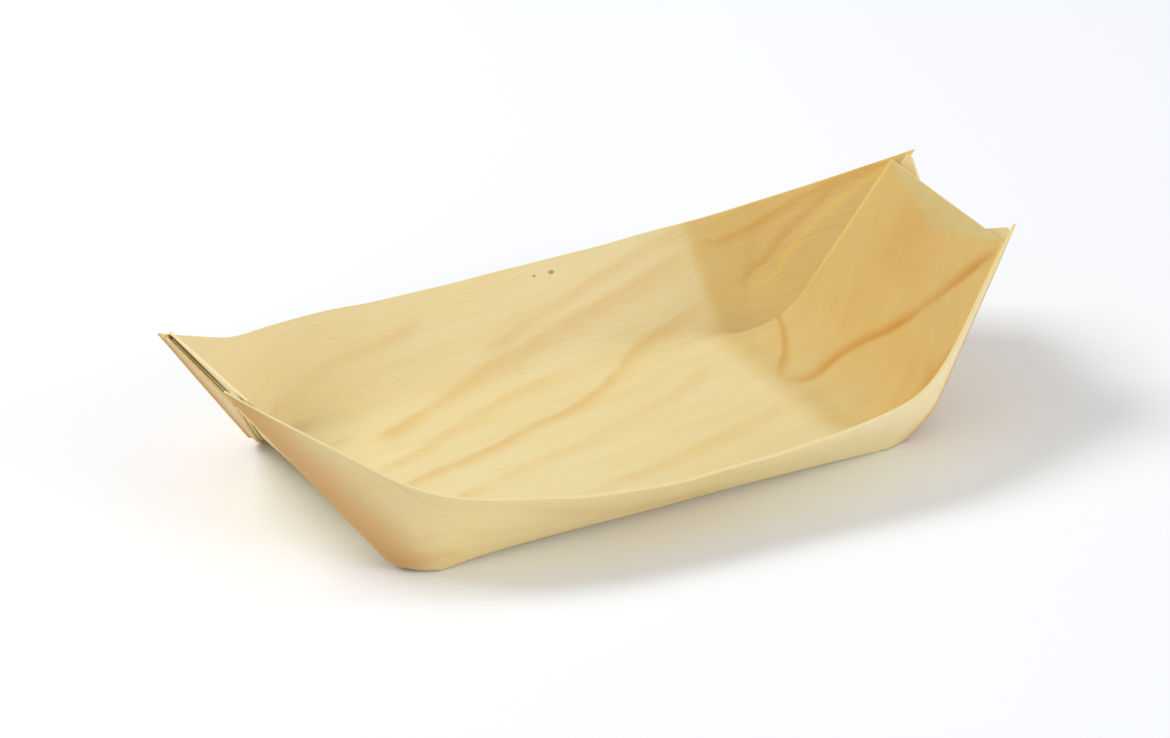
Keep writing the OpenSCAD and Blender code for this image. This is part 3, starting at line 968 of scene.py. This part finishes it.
@dataclass
class PleatedEnd:
    """One end of the boat: its panel, and on either side the two flap layers glued behind it.

    Attributes:
        form: Form of the end.
        arc_rows, straight_rows, tip_rows: Rows round the bend, up the panel and past a flap's tip.
        columns, flap_columns: Columns of the panel and of a flap.
        least_width: Width below which a flap has no row.
        palest: Limit of the painted light on the panel.
        shade_start: Share of the bend over which the panel takes its own painted shade.
            glow_width, glow_start: Painted highlight along the side folds, a golden line, and the shares of
                the bend where it starts.
        hidden_shade: Painted shade of a flap's inner face.
            brown_width, brown_loss: Width of the painted brown shade along a flap's fold, and how much of it
                is lost inwards.
    """

    form: EndForm
    arc_rows: int = 44
    straight_rows: int = 60
    tip_rows: int = 30
    columns: int = 96
    flap_columns: int = 40
    least_width: float = 0.6 * MM
    palest: float = -0.3
    shade_start: float = 0.7
    glow_width: Span = (0.3 * MM, 1.6 * MM)
    glow_start: Span = (0.7, 1.6)
    hidden_shade: float = 0.5
    brown_width: Span = (0.5 * MM, 12 * MM)
    brown_loss: float = 0.45

    def single(self, run: Array, y: Array) -> Array:
        """Distance in millimetres into the panel's top, where no flap lies behind it."""
        f = self.form
        tip = f.flap_tip
        end_y = f.half - (f.arc_length + f.panel_run) * f.slimming
        cut = tip[1] + (end_y - tip[1]) * (run - f.arc_length - tip[0]) / (f.panel_run - tip[0])
        return (cut - np.abs(y)) / MM

    def sheet(self, offset: float, runs: Array, y: Array) -> Array:
        """Points of one face of a layer, at the stern.

        Args:
            offset: Distance behind the panel's inner face.
            runs: Distance of each row up the panel.
            y: Places across, by row and column.

        Returns:
            Points by row and column.
        """
        flat = self.form.profile(offset, runs)
        x, height = (np.repeat(column[:, None], y.shape[1], 1) for column in flat.T)
        return np.stack([self.form.bottom_end + x, y, height], axis=2)

    def panel(self) -> Skin:
        """Both faces of the end panel."""
        f, z = self.form, self.form.sizes
        runs = np.concatenate([np.linspace(0, f.arc_length, self.arc_rows + 1)[:-1],
                               f.arc_length + np.linspace(0, f.panel_run, self.straight_rows + 1)])
        share = np.linspace(-1, 1, self.columns + 1)
        faces = [self.sheet(offset, runs, f.side_y(offset, runs)[:, None] * share) * [f.sign, 1, 1]
                 for offset in (0.0, z.veneer)]
        run = np.repeat(runs[:, None], len(share), 1)
        y = faces[0][..., 1]
        blank = np.stack([f.sign * (f.bottom_end + run), y], axis=2)
        # painted shade of the panel, from the wall's at the bend to its own; painted light at the bow
        start = f.wall_shade(np.array(f.bottom_end), 1.0)
        own = smoothstep(0.0, self.shade_start * f.arc_length, run)
        backed = start + (max(f.shade, self.palest) - start) * own
        # painted light: the top of the panel with no flap behind it, lit as if through the veneer
        single = self.single(run, y)
        side = (1 - np.abs(share)) * f.side_y(0.0, runs)[:, None]
        # painted highlight along the side folds
        glow = 1 - smoothstep(*self.glow_width, side)
        glow *= smoothstep(*self.glow_start, run / f.arc_length)
        zero = np.zeros_like(backed)
        seam = zero.copy()
        seam[0, :] = seam[:, 0] = seam[:, -1] = 1
        masks = face_masks(zero.shape, {Mask.BACKED: (backed, zero), Mask.CREASE: (glow, zero),
                                        Mask.THROUGH: (single, single)})
        return Skin.grid(faces[0], faces[1], blank, masks, seam)

    def flap(self, inside: float, top: float, turns: tuple[float, bool]) -> Skin:
        """One starboard flap layer.

        Args:
            inside: Offset of its inner face behind the panel's inner face.
            top: How far it runs up the straight part of the panel.
            turns: How the pleat turned it on the blank: an angle, and whether it was turned over.

        Returns:
            The skin of the flap.
        """
        f, z = self.form, self.form.sizes
        start = f.bend * f.stack_start
        tip = f.arc_length + f.flap_tip[0]
        runs = np.unique(np.concatenate([
            start + (f.arc_length - start) * np.linspace(0, 1, self.arc_rows + 1),
            np.linspace(f.arc_length, tip, self.straight_rows),
            np.linspace(tip, f.arc_length + top, self.tip_rows)]))
        share = np.linspace(0, 1, self.flap_columns + 1)
        edges = [(offset, f.flap_edge(offset, runs, top), f.side_y(offset, runs))
                 for offset in (inside, inside + z.veneer)]
        keep = np.all([high - low > self.least_width for _, low, high in edges], axis=0)
        runs = runs[keep]
        faces = [self.sheet(offset, runs, low[keep, None] + (high - low)[keep, None] * share)
                 for offset, low, high in edges]
        run = np.repeat(runs[:, None], len(share), 1)
        y = faces[1][..., 1]
        turn, over = turns
        blank = f.on_blank(run, y - f.half if over else f.half - y, turn)
        # painted brown shade along the flap's fold
        brown = 1 - self.brown_loss * smoothstep(*self.brown_width, y[:, -1:] - y)
        zero = np.zeros(run.shape)
        seam = zero.copy()
        seam[:, -1] = 1
        # painted shade on the flap's inner face, deep in the pleat
        masks = face_masks(zero.shape, {Mask.BACKED: (zero + self.hidden_shade, zero),
                                        Mask.BROWNED: (zero, brown)})
        return Skin.grid(faces[0], faces[1], blank, masks, seam)

    def inner_flap(self) -> Skin:
        """The layer next to the panel, turned over about the panel's side fold."""
        f = self.form
        return self.flap(f.sizes.layer, f.panel_run, (2 * f.panel_angle, True))

    def outer_flap(self) -> Skin:
        """The outside layer, turned about the bottom corner by both folds of the pleat."""
        f = self.form
        return self.flap(2 * f.sizes.layer, f.tip_run, (2 * (f.panel_angle - f.crease_angle), False))


def new_material(name: str) -> tuple[Material, NodeTree, Node]:
    """A new material, with its tree and its shader."""
    material = bpy.data.materials.new(name)
    material.use_nodes = True
    return material, material.node_tree, material.node_tree.nodes["Principled BSDF"]


def srgb(red: int, green: int, blue: int) -> Colour:
    """A colour as it is seen on a screen, for a colour socket."""
    def linear(value: int) -> float:
        c = value / 255
        return c / 12.92 if c <= 0.04045 else ((c + 0.055) / 1.055) ** 2.4
    return linear(red), linear(green), linear(blue), 1.0


@dataclass(frozen=True)
class GrainLine:
    """One line drawn over the blank in millimetres: mostly growth lines of the veneer, and some painted
    highlight or painted shade along a fold.

    Attributes:
        path: Places (along, across) that the line runs through, from bow to stern.
        soft: How far its colour fades out towards port.
        crisp: How far its colour fades out towards starboard.
        strength: How strongly it shows: how dark a growth line or painted shade is, how bright a painted
            highlight is.
    """

    path: tuple[tuple[float, float], ...]
    soft: float = 4.0
    crisp: float = 1.6
    strength: float = 0.6


GRAIN_LINES = (
    GrainLine(((-52, -2), (-31, 4.6), (-11, 11.5), (6, 18.2), (20, 26.5), (35, 37.3), (54, 44)),
              7.0, 3.0, 0.65),
    GrainLine(((-44, 24), (-23, 32.7), (-9, 40), (10, 45), (30, 49.8), (53, 56.6)), 8.5, 3.6, 0.65),
    GrainLine(((-6, 45), (13, 50.5), (29, 55.9), (44, 60.2), (58, 62)), 5.5, 2.6, 0.45),
    GrainLine(((-66, 44), (-51, 48.8), (-40, 52.3), (-29, 53.8), (-14, 57)), 6.0, 3.0, 0.4),
    GrainLine(((-56, 6), (-37, 14.1), (-19, 23.5), (-1, 31.1), (14, 36)), 7.5, 3.4, 0.35),
    GrainLine(((-60, -20), (-38, -12), (-14, -4), (8, 3), (28, 12), (46, 22)), 8.0, 3.4, 0.35),
    GrainLine(((-66, -42), (-40, -34), (-12, -24), (14, -16), (36, -8), (54, -2)), 8.0, 3.4, 0.32),
    GrainLine(((-44, -60), (-14, -50), (12, -42), (38, -32), (60, -24), (84, -16)), 8.0, 3.4, 0.3),
    GrainLine(((-112, -22), (-98, -16), (-84, -11), (-70, -8), (-58, -3), (-44, 3)), 4.0, 1.8, 0.5),
    GrainLine(((-112, 8), (-98, 10), (-84, 14), (-70, 19), (-58, 24), (-44, 30)), 4.0, 1.8, 0.5),
    GrainLine(((-116, 30), (-100, 33), (-84, 38), (-70, 43), (-56, 48)), 4.0, 2.0, 0.4),
    GrainLine(((-104, -57), (-84, -50), (-66, -46), (-50, -43)), 5.0, 2.4, 0.4),
    GrainLine(((53, 6), (56, 9.2), (60, 15), (63, 19), (67, 27), (71, 37), (76, 48)), 6.0, 2.5, 0.75),
    # painted shade: the dark side of the far stern fold, beside the gleam line
    GrainLine(((60, 46.6), (67, 51.8), (78, 58.0), (92, 62.2), (108, 64)), 1.6, 3.0, 0.7),
    GrainLine(((55, 8), (60, 4.8), (71, 5.4), (83, -3.9), (91, -10.6), (104, -19.2), (115, -26.4)),
              3.0, 5.5, 1.0),
    GrainLine(((58, -20), (72, -24), (88, -30), (104, -37), (114, -41)), 3.0, 4.0, 0.6),
    GrainLine(((56, 56), (66, 59), (80, 62), (94, 62.6), (106, 63.4)), 3.0, 1.6, 0.7),
    # darker amber band along the near stern fold, low on the panel
    GrainLine(((56, -31), (64, -31), (74, -29), (86, -26.5)), 8.0, 9.0, 0.7),
    # broad darker patch up the middle of the stern panel
    GrainLine(((90, 2), (102, 3), (116, 4)), 24.0, 24.0, 0.4))
# painted highlight: the golden bright side of the far stern fold
GLEAM_LINES = (
    GrainLine(((61, 44.8), (67, 49.2), (78, 55.6), (92, 60.6), (108, 63.4)), 2.2, 1.3, 0.8),)
PIN_KNOTS = ((20.0, 60.5, 0.55), (15.6, 60.6, 0.32), (-38.0, -21.0, 0.3))  # along, across, size


@dataclass(frozen=True)
class PineFinish:
    """Colours and surface of the pine veneer.

    Attributes:
        pale, warm: Wood between the growth lines at its lightest and darkest.
        amber, pore, knot, cut: Growth lines, open pores, pin knots and cut edges.
        painted_shade_tint, painted_light_tint, single: Tint multiplied over painted shade, tint of painted
        light, and tint of the painted shade where no layer lies behind the wood, as if lit through the
        veneer.
        glow, browned: Painted highlight on the inner side of the folds, and painted shade on their outer
            side.
        spacing, wobble, fineness: Spacing of the faint bands, sway of all lines, fineness of the fibres.
        tone: Shares of bands, blotches and fibres in the wood's darkness, and its start.
        line, pores: How strongly growth lines and pores show, and how much more on painted shade.
        pore_start: Fibre values between which pores open.
        single_edge, single_loss, single_tint: Edge, lost painted shade and tint of the painted light through
            wood with no layer behind it.
        shade, brown, fold, dot, edge: How strongly painted shade and light, painted brown shade, painted
            glow, knots and cut edges show.
        roughness: That of the wood, and what fibres add to it and growth lines take off.
        relief, bump, line_height: Depth of the fibres, how strongly they show, and height of growth lines.
        scatter, scatter_depth, translucency: Light that passes through the wood.
    """

    pale: Tint = (235, 220, 172)
    warm: Tint = (229, 207, 141)
    amber: Tint = (219, 170, 80)
    pore: Tint = (206, 170, 104)
    knot: Tint = (120, 90, 52)
    cut: Tint = (234, 215, 165)
    painted_shade_tint: Tint = (228, 207, 160)
    painted_light_tint: Tint = (238, 224, 184)
    single: Tint = (236, 241, 238)
    glow: Tint = (244, 208, 116)
    browned: Tint = (202, 145, 78)
    spacing: float = 9.0
    wobble: float = 1.0
    fineness: float = 1.0
    tone: tuple[float, float, float, float] = (0.3, 0.5, 0.55, 0.24)
    line: Span = (0.75, 0.2)
    pores: Span = (0.3, 0.1)
    pore_start: Span = (0.22, 0.62)
    single_edge: Span = (-0.5, 0.7)
    single_loss: float = 0.4
    single_tint: float = 1.6
    shade: float = 0.9
    brown: float = 0.7
    fold: float = 0.5
    dot: float = 0.65
    edge: float = 0.75
    roughness: Place = (0.62, 0.06, 0.08)
    specular: float = 0.32
    relief: float = 0.16 * MM
    bump: float = 0.5
    line_height: float = 0.4
    translucency: float = 0.18
    scatter: Place = (1.0, 0.62, 0.3)
    scatter_depth: float = 1.2 * MM


@dataclass(frozen=True)
class GlueFinish:
    """Colours and surface of the dried glue films.

    Attributes:
        film, thin: Thick and thin places.
        clouds, detail, thinning: Scale and detail of the clouds, and the values between which they are thin.
        roughness: That of thin places, and what clouds add to it.
        relief, bump: Depth of the clouds and how strongly they show.
    """

    film: Tint = (222, 206, 160)
    thin: Tint = (206, 182, 126)
    clouds: float = 260.0
    detail: float = 4.0
    thinning: Span = (0.35, 0.65)
    roughness: Span = (0.28, 0.2)
    relief: float = 0.05 * MM
    bump: float = 0.3


@dataclass(frozen=True)
class Noise:
    """A noise about 0: its stretch along and across, scale, shift, detail and amount."""

    along: float
    across: float
    scale: float
    shift: float
    detail: float = 1.0
    amount: float = 1.0


@dataclass(frozen=True)
class GrainForm:
    """How growth lines, faint bands and fibres run over the blank, in millimetres.

    Attributes:
        slow, quick, band_sway: Sway of the growth lines, and how much more the bands sway.
        lean, climb, climb_start, climb_soft: Rise of the bands along the blank, and their steeper rise aft.
        uneven, peak: Unevenness of the bands' spacing, and the share of it at which a band is strongest.
        patches, line_patch, band_patch: Patchiness, and how much lines and bands take of it and start from.
        knot_stretch, knot_edge: Weight of the way along a pin knot, and shares of its size where it fades.
        bowing, fibre_lean: Sway and lean of the fibres.
        streaks, pores, blotches: Long fibres, pores and blotches.
        fibre, height: Shares of streaks and pores in the fibres' tone and in their height.
    """

    slow: Noise = Noise(0.7, 0.6, scale=0.06, shift=3.1, amount=2.6)
    quick: Noise = Noise(1.0, 0.7, scale=0.22, shift=7.7, amount=0.3)
    band_sway: float = 1.6
    lean: float = 0.05
    climb: float = 0.13
    climb_start: float = 6.0
    climb_soft: float = 120.0
    uneven: Noise = Noise(0.9, 0.01, scale=0.07, shift=5.2, amount=0.8)
    peak: float = 0.62
    patches: Noise = Noise(1.0, 1.0, scale=0.05, shift=2.4, detail=2.0)
    line_patch: Span = (0.8, 0.85)
    band_patch: Span = (0.9, 0.55)
    knot_stretch: float = 0.5
    knot_edge: Span = (0.4, 1.4)
    bowing: Noise = Noise(0.55, 0.8, scale=0.03, shift=3.1, amount=9.0)
    fibre_lean: float = 0.1
    streaks: Noise = Noise(0.03, 1.0, scale=0.9, shift=1.3, detail=3.0)
    pores: Noise = Noise(0.05, 1.0, scale=3.4, shift=5.5, detail=2.0)
    blotches: Noise = Noise(0.4, 1.0, scale=0.05, shift=9.1, detail=2.0)
    fibre: Span = (0.6, 0.4)
    height: Span = (0.55, 0.45)


class BlankGroup:
    """A shader group over the flat blank, with named numbers in and out.

    Attributes:
        tree: The group.
        along, across: Place on the blank in millimetres.
        values: The named numbers that go in.
    """

    def __init__(self, name: str, values: dict[str, float]) -> None:
        """Make the group with its inputs."""
        self.tree = bpy.data.node_groups.new(name, "ShaderNodeTree")
        face = self.tree.interface
        face.new_socket("Blank", in_out="INPUT", socket_type="NodeSocketVector")
        for label, value in values.items():
            face.new_socket(label, in_out="INPUT", socket_type="NodeSocketFloat").default_value = value
        start = self.tree.nodes.new("NodeGroupInput")
        split = feed(self.tree.nodes.new("ShaderNodeSeparateXYZ"), {0: start.outputs["Blank"]})
        self.along, self.across = (Wire(self.tree, split.outputs[n]) * (1 / MM) for n in (0, 1))
        self.values = {label: Wire(self.tree, start.outputs[label]) for label in values}

    def noise(self, form: Noise, along: Wire, across: Wire) -> Wire:
        """A noise over two numbers."""
        nodes = self.tree.nodes
        place = feed(nodes.new("ShaderNodeCombineXYZ"), {
            "X": along * form.along, "Y": across * form.across, "Z": form.shift})
        node = feed(nodes.new("ShaderNodeTexNoise"), {
            "Vector": place.outputs[0], "Scale": form.scale, "Detail": form.detail, "Roughness": 0.5})
        return (Wire(self.tree, node.outputs["Fac"]) - 0.5) * (2.0 * form.amount)

    def drawn(self, line: GrainLine) -> Wire:
        """Place across the blank of a drawn line, for every place along it."""
        node = self.tree.nodes.new("ShaderNodeFloatCurve")
        curve = node.mapping.curves[0]
        spots = [(u / (2 * REACH) + 0.5, v / (2 * REACH) + 0.5) for u, v in line.path]
        curve.points[0].location, curve.points[1].location = spots[0], spots[-1]
        for spot in spots[1:-1]:
            curve.points.new(*spot)
        node.mapping.update()
        feed(node, {"Value": self.along / (2 * REACH) + 0.5})
        return (Wire(self.tree, node.outputs[0]) - 0.5) * (2 * REACH)

    def strongest(self, across: Wire, lines: Iterable[GrainLine]) -> Wire:
        """The strongest of several drawn lines at each place of the blank."""
        marks = []
        for line in lines:
            gap = across - self.drawn(line)
            fade = gap.step(-line.soft, -0.1) * gap.step(0.0, line.crisp).less_from(1.0)
            first, last = line.path[0][0], line.path[-1][0]
            window = self.along.step(first - 1.0, first + LINE_END)
            window *= self.along.step(last - LINE_END, last + 1.0).less_from(1.0)
            marks.append(fade * fade * window * line.strength)
        return most(marks)

    def finished(self, results: dict[str, Wire]) -> NodeTree:
        """The group with the named numbers that it puts out."""
        for label in results:
            self.tree.interface.new_socket(label, in_out="OUTPUT", socket_type="NodeSocketFloat")
        feed(self.tree.nodes.new("NodeGroupOutput"), results)
        return self.tree


class ShaderBench:
    """Builds the boat's shader groups and materials."""

    def __init__(self, grain: GrainForm) -> None:
        """Make the shared groups."""
        self.figure = self._figure_group(grain)
        self.fibre = self._fibre_group(grain)

    @staticmethod
    def _figure_group(grain: GrainForm) -> NodeTree:
        """Growth lines of the veneer: drawn ones, and faint bands between them; also the painted highlight
        of the gleam lines, and pin knots.
        """
        group = BlankGroup("pine_figure", {"Spacing": PineFinish.spacing, "Wobble": PineFinish.wobble})
        u, v = group.along, group.across
        sway = (group.noise(grain.slow, u, v) + group.noise(grain.quick, u, v)) * group.values["Wobble"]
        aft = u - grain.climb_start
        rise = (aft + (aft * aft + grain.climb_soft).math("SQRT")) * grain.climb
        rings = v - u * grain.lean - rise + sway * grain.band_sway
        part = (rings / group.values["Spacing"] + group.noise(grain.uneven, rings, u)).math("FRACT")
        band = part.step(0.0, grain.peak) * part.step(grain.peak, 1.0).less_from(1.0)
        dots = []
        for along, across, size in PIN_KNOTS:
            off, beside = (u - along).math("POWER", 2.0), (v - across).math("POWER", 2.0)
            gap = (off * grain.knot_stretch + beside).math("SQRT")
            dots.append(gap.step(*(size * edge for edge in grain.knot_edge)).less_from(1.0))
        patchy = group.noise(grain.patches, u, v)
        line_patch, band_patch = ((patchy * share + start).clamped()
                                  for share, start in (grain.line_patch, grain.band_patch))
        return group.finished({
            "Line": group.strongest(v + sway, GRAIN_LINES) * line_patch,
            "Gleam": group.strongest(v, GLEAM_LINES),
            "Band": band * band_patch,
            "Knot": most(dots)})

    @staticmethod
    def _fibre_group(grain: GrainForm) -> NodeTree:
        """Fine lengthwise fibres, blotches and a height for the bump."""
        group = BlankGroup("pine_fibre", {"Fineness": PineFinish.fineness})
        u = group.along
        bowed = group.across + group.noise(grain.bowing, u, group.across) - u * grain.fibre_lean
        fine = bowed * group.values["Fineness"]
        streak, pore = group.noise(grain.streaks, u, fine), group.noise(grain.pores, u, fine)
        fibre, height = (streak * more + pore * less for more, less in (grain.fibre, grain.height))
        return group.finished({
            "Fibre": fibre, "Blotch": group.noise(grain.blotches, u, bowed), "Height": height})

    @staticmethod
    def _mix(factor: Wire, first: NodeSocket | Colour, second: Colour, blend: str = "MIX") -> NodeSocket:
        """Colour mixed over another by a factor."""
        node = factor.tree.nodes.new("ShaderNodeMix")
        node.data_type, node.blend_type, node.clamp_factor = "RGBA", blend, True
        return feed(node, {"Factor": factor, "A": first, "B": second}).outputs["Result"]

    @staticmethod
    def _bump(height: Wire, finish: PineFinish | GlueFinish) -> NodeSocket:
        """Small relief of a surface."""
        node = height.tree.nodes.new("ShaderNodeBump")
        return feed(node, {"Strength": finish.bump, "Distance": finish.relief, "Height": height}).outputs[0]

    @staticmethod
    def _attribute(tree: NodeTree, mask: Mask) -> Wire:
        """A mask of the piece."""
        node = tree.nodes.new("ShaderNodeAttribute")
        node.attribute_name = mask.value
        return Wire(tree, node.outputs["Fac"])

    @staticmethod
    def _placed(tree: NodeTree, group: NodeTree, values: dict[str, float]) -> dict[str, Wire]:
        """What a shared group puts out in a material, with the material's own values."""
        node, chart = tree.nodes.new("ShaderNodeGroup"), tree.nodes.new("ShaderNodeUVMap")
        node.node_tree, chart.uv_map = group, BLANK_UV
        feed(node, {"Blank": chart.outputs[0], **values})
        return {socket.name: Wire(tree, socket) for socket in node.outputs}

    def pine(self, name: str, finish: PineFinish) -> Material:
        """The veneer in blank coordinates: rings, fibres, cut edges, and folds, with painted shade, painted
        light and painted highlights.
        """
        material, tree, shader = new_material(name)
        figure = self._placed(tree, self.figure, {"Spacing": finish.spacing, "Wobble": finish.wobble})
        fibre = self._placed(tree, self.fibre, {"Fineness": finish.fineness})
        mask = {m: self._attribute(tree, m) for m in Mask}
        line, thread = figure["Line"], fibre["Fibre"]
        bands, blotches, fibres, start = finish.tone
        tone = figure["Band"] * bands + fibre["Blotch"] * blotches + thread * fibres + start
        # painted light: where no layer lies behind the panel, the painted shade is lifted and tinted
        single = mask[Mask.THROUGH].step(*finish.single_edge)
        shade = mask[Mask.BACKED] * (single * -finish.single_loss + 1.0)
        drawn, pored = (shade * more + plain for plain, more in (finish.line, finish.pores))
        colour = srgb(*finish.pale)
        for factor, tint, blend in (
                (tone, finish.warm, "MIX"),
                (line * drawn, finish.amber, "MIX"),
                # painted shade multiplied over the wood, and painted light mixed in where it is below 0
                (shade * finish.shade, finish.painted_shade_tint, "MULTIPLY"),
                (shade * -finish.shade, finish.painted_light_tint, "MIX"),
                (single * shade * finish.single_tint, finish.single, "MULTIPLY"),
                # painted brown shade on the outer side of folds, painted highlights on their inner side and
                # along the gleam lines
                (mask[Mask.BROWNED] * finish.brown, finish.browned, "MIX"),
                (mask[Mask.CREASE] * finish.fold, finish.glow, "MIX"),
                (figure["Gleam"] * finish.fold, finish.glow, "MIX"),
                (thread.step(*finish.pore_start) * pored, finish.pore, "MIX"),
                (figure["Knot"] * finish.dot, finish.knot, "MIX"),
                (mask[Mask.CUT] * finish.edge, finish.cut, "MIX")):
            colour = self._mix(factor, colour, srgb(*tint), blend)
        rough, coarse, sleek = finish.roughness
        feed(shader, {
            "Base Color": colour,
            "Roughness": (thread * coarse - line * sleek + rough).clamped(),
            "Normal": self._bump(fibre["Height"] + line * finish.line_height, finish),
            "Subsurface Weight": finish.translucency, "Subsurface Radius": finish.scatter,
            "Subsurface Scale": finish.scatter_depth, "Specular IOR Level": finish.specular})
        return material

    def glue(self, name: str, finish: GlueFinish) -> Material:
        """The dried glue: cloudy film with thin places."""
        material, tree, shader = new_material(name)
        place = tree.nodes.new("ShaderNodeTexCoord")
        noise = feed(tree.nodes.new("ShaderNodeTexNoise"), {
            "Vector": place.outputs["Object"], "Scale": finish.clouds, "Detail": finish.detail})
        cloud = Wire(tree, noise.outputs["Fac"])
        low, more = finish.roughness
        feed(shader, {
            "Base Color": self._mix(cloud.step(*finish.thinning), srgb(*finish.film), srgb(*finish.thin)),
            "Roughness": cloud * more + low,
            "Normal": self._bump(cloud, finish)})
        return material


@dataclass
class SnackBoat:
    """The whole boat: trough, two pleated ends and their glue.

    Attributes:
        sizes: Sizes of the blank.
        hand: Unevenness of the veneer.
        edge: Rounding of its cut edges.
        ends: Forms of the ends.
    """

    sizes: BlankSizes = field(default_factory=BlankSizes)
    hand: HandWork = field(default_factory=HandWork)
    edge: CutEdge = field(default_factory=CutEdge)
    ends: dict[End, EndForm] = field(init=False)

    def __post_init__(self) -> None:
        """Give both ends their form."""
        # shade and outside: painted shade of each end inside and on its outer walls, painted light where
        # below 0
        self.ends = {
            End.BOW: EndForm(
                End.BOW, slope=math.radians(53), bend=12 * MM, ear_gap=33 * MM, flare=math.radians(66),
                width=81 * MM, fan=1.6, tip_gap=4 * MM, shade=-0.8, outside=0.2, sizes=self.sizes),
            End.STERN: EndForm(
                End.STERN, slope=math.radians(58), bend=20 * MM, ear_gap=46 * MM, flare=math.radians(47),
                width=69 * MM, fan=1.1, tip_gap=1.5 * MM, shade=1.0, outside=-0.45, sizes=self.sizes)}

    def _place(self, node: str, skin: Skin, material: Material) -> None:
        """Make one piece of veneer stand for its CAD node."""
        piece = VeneerMesh(skin, self.hand, self.edge).build(f"{node}_veneer")
        piece.data.materials.append(material)
        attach(piece, "root")
        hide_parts(node)

    def build(self, bench: ShaderBench) -> None:
        """Build every piece and dress the glue films."""
        pine = bench.pine("pine_veneer", PineFinish())
        skins = TroughSkins(self.sizes, self.ends[End.BOW], self.ends[End.STERN])
        tree = skins.tree(pine)
        self._place("hull_trough", Trough(self.sizes, self.ends).skin(skins, tree), pine)
        for end, form in self.ends.items():
            pleats, name = PleatedEnd(form), end.name.lower()
            self._place(f"{name}_end_panel", pleats.panel(), pine)
            for layer, skin in (("inner", pleats.inner_flap()), ("outer", pleats.outer_flap())):
                for side in Side:
                    node = f"{name}_{side.name.lower()}_{layer}_flap"
                    self._place(node, skin.mirrored(form.sign, side.value), pine)
        film = bench.glue("dried_glue", GlueFinish())
        for label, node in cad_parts.items():
            if label.endswith("_glue"):
                for slot in node.material_slots:
                    slot.material = film
                LOG.info("%s: dressed as glue film", label)


@dataclass(frozen=True)
class Lamp:
    """Soft square lamp, turned to the boat: its place, side in metres and power in watts."""

    name: str
    place: Place
    size: float
    power: float


@dataclass(frozen=True)
class Studio:
    """Floor, lamps and camera.

    Attributes:
        azimuth, elevation: Direction that the boat is seen from.
        lens, sensor: Focal length and sensor width in millimetres.
        frame_width: Width of the picture at the boat.
        aim: Point that camera and lamps are turned to.
        floor_size, floor_colour: Side and colour of the floor.
        surround: Strength of the light from all round.
        lamps: The lamps.
    """

    azimuth: float = math.radians(-28)
    elevation: float = math.radians(26)
    lens: float = 300.0
    sensor: float = 36.0
    frame_width: float = 0.268
    aim: Place = (0.0, 0.0, 0.0195)
    floor_size: float = 6.0
    floor_colour: Colour = (0.945, 0.963, 0.995, 1.0)
    surround: float = 0.55
    lamps: tuple[Lamp, ...] = (Lamp("key", (-0.7, 0.6, 1.05), size=0.6, power=10.8),
                               Lamp("fill", (0.65, -1.15, 0.32), size=1.0, power=8.6))

    def floor(self) -> None:
        """Pale floor that keeps the shadow."""
        mesh = bpy.data.meshes.new("studio_floor")
        s = self.floor_size / 2
        mesh.from_pydata([(-s, -s, 0), (s, -s, 0), (s, s, 0), (-s, s, 0)], [], [(0, 1, 2, 3)])
        material, _, shader = new_material("studio_floor")
        feed(shader, {"Base Color": self.floor_colour, "Roughness": 1.0, "Specular IOR Level": 0.0})
        mesh.materials.append(material)
        linked("studio_floor", mesh)

    def world(self) -> None:
        """White surround with a plain level of light."""
        world = bpy.data.worlds.new("studio")
        bpy.context.scene.world = world
        world.use_nodes = True
        tree = world.node_tree
        path = tree.nodes.new("ShaderNodeLightPath")
        shown = most([Wire(tree, path.outputs[f"Is {k} Ray"]) for k in ("Camera", "Glossy", "Transmission")])
        feed(tree.nodes["Background"], {
            "Color": (1, 1, 1, 1), "Strength": shown * (1.0 - self.surround) + self.surround})

    def light(self, lamp: Lamp) -> None:
        """Hang one lamp."""
        data = bpy.data.lights.new(lamp.name, "AREA")
        data.size, data.energy = lamp.size, lamp.power
        hung = linked(lamp.name, data)
        hung.location = lamp.place
        hung.rotation_euler = (Vector(self.aim) - Vector(lamp.place)).to_track_quat("-Z", "Y").to_euler()

    def camera(self) -> None:
        """Long lens at the viewing angle."""
        data = bpy.data.cameras.new("camera")
        data.lens, data.sensor_width = self.lens, self.sensor
        away = self.frame_width * self.lens / self.sensor
        eye = linked("camera", data)
        turn = Vector((math.sin(self.azimuth) * math.cos(self.elevation),
                       -math.cos(self.azimuth) * math.cos(self.elevation), math.sin(self.elevation)))
        eye.location = Vector(self.aim) + turn * away
        eye.rotation_euler = (-turn).to_track_quat("-Z", "Y").to_euler()
        bpy.context.scene.camera = eye

    def build(self) -> None:
        """Set up the whole studio."""
        bpy.context.scene.view_settings.view_transform = "Standard"
        self.floor()
        self.world()
        for lamp in self.lamps:
            self.light(lamp)
        self.camera()


def main() -> None:
    """Build the boat and its studio."""
    logging.basicConfig(level=logging.INFO, format="%(message)s")
    SnackBoat().build(ShaderBench(GrainForm()))
    Studio().build()


if __name__ == "__main__":
    main()
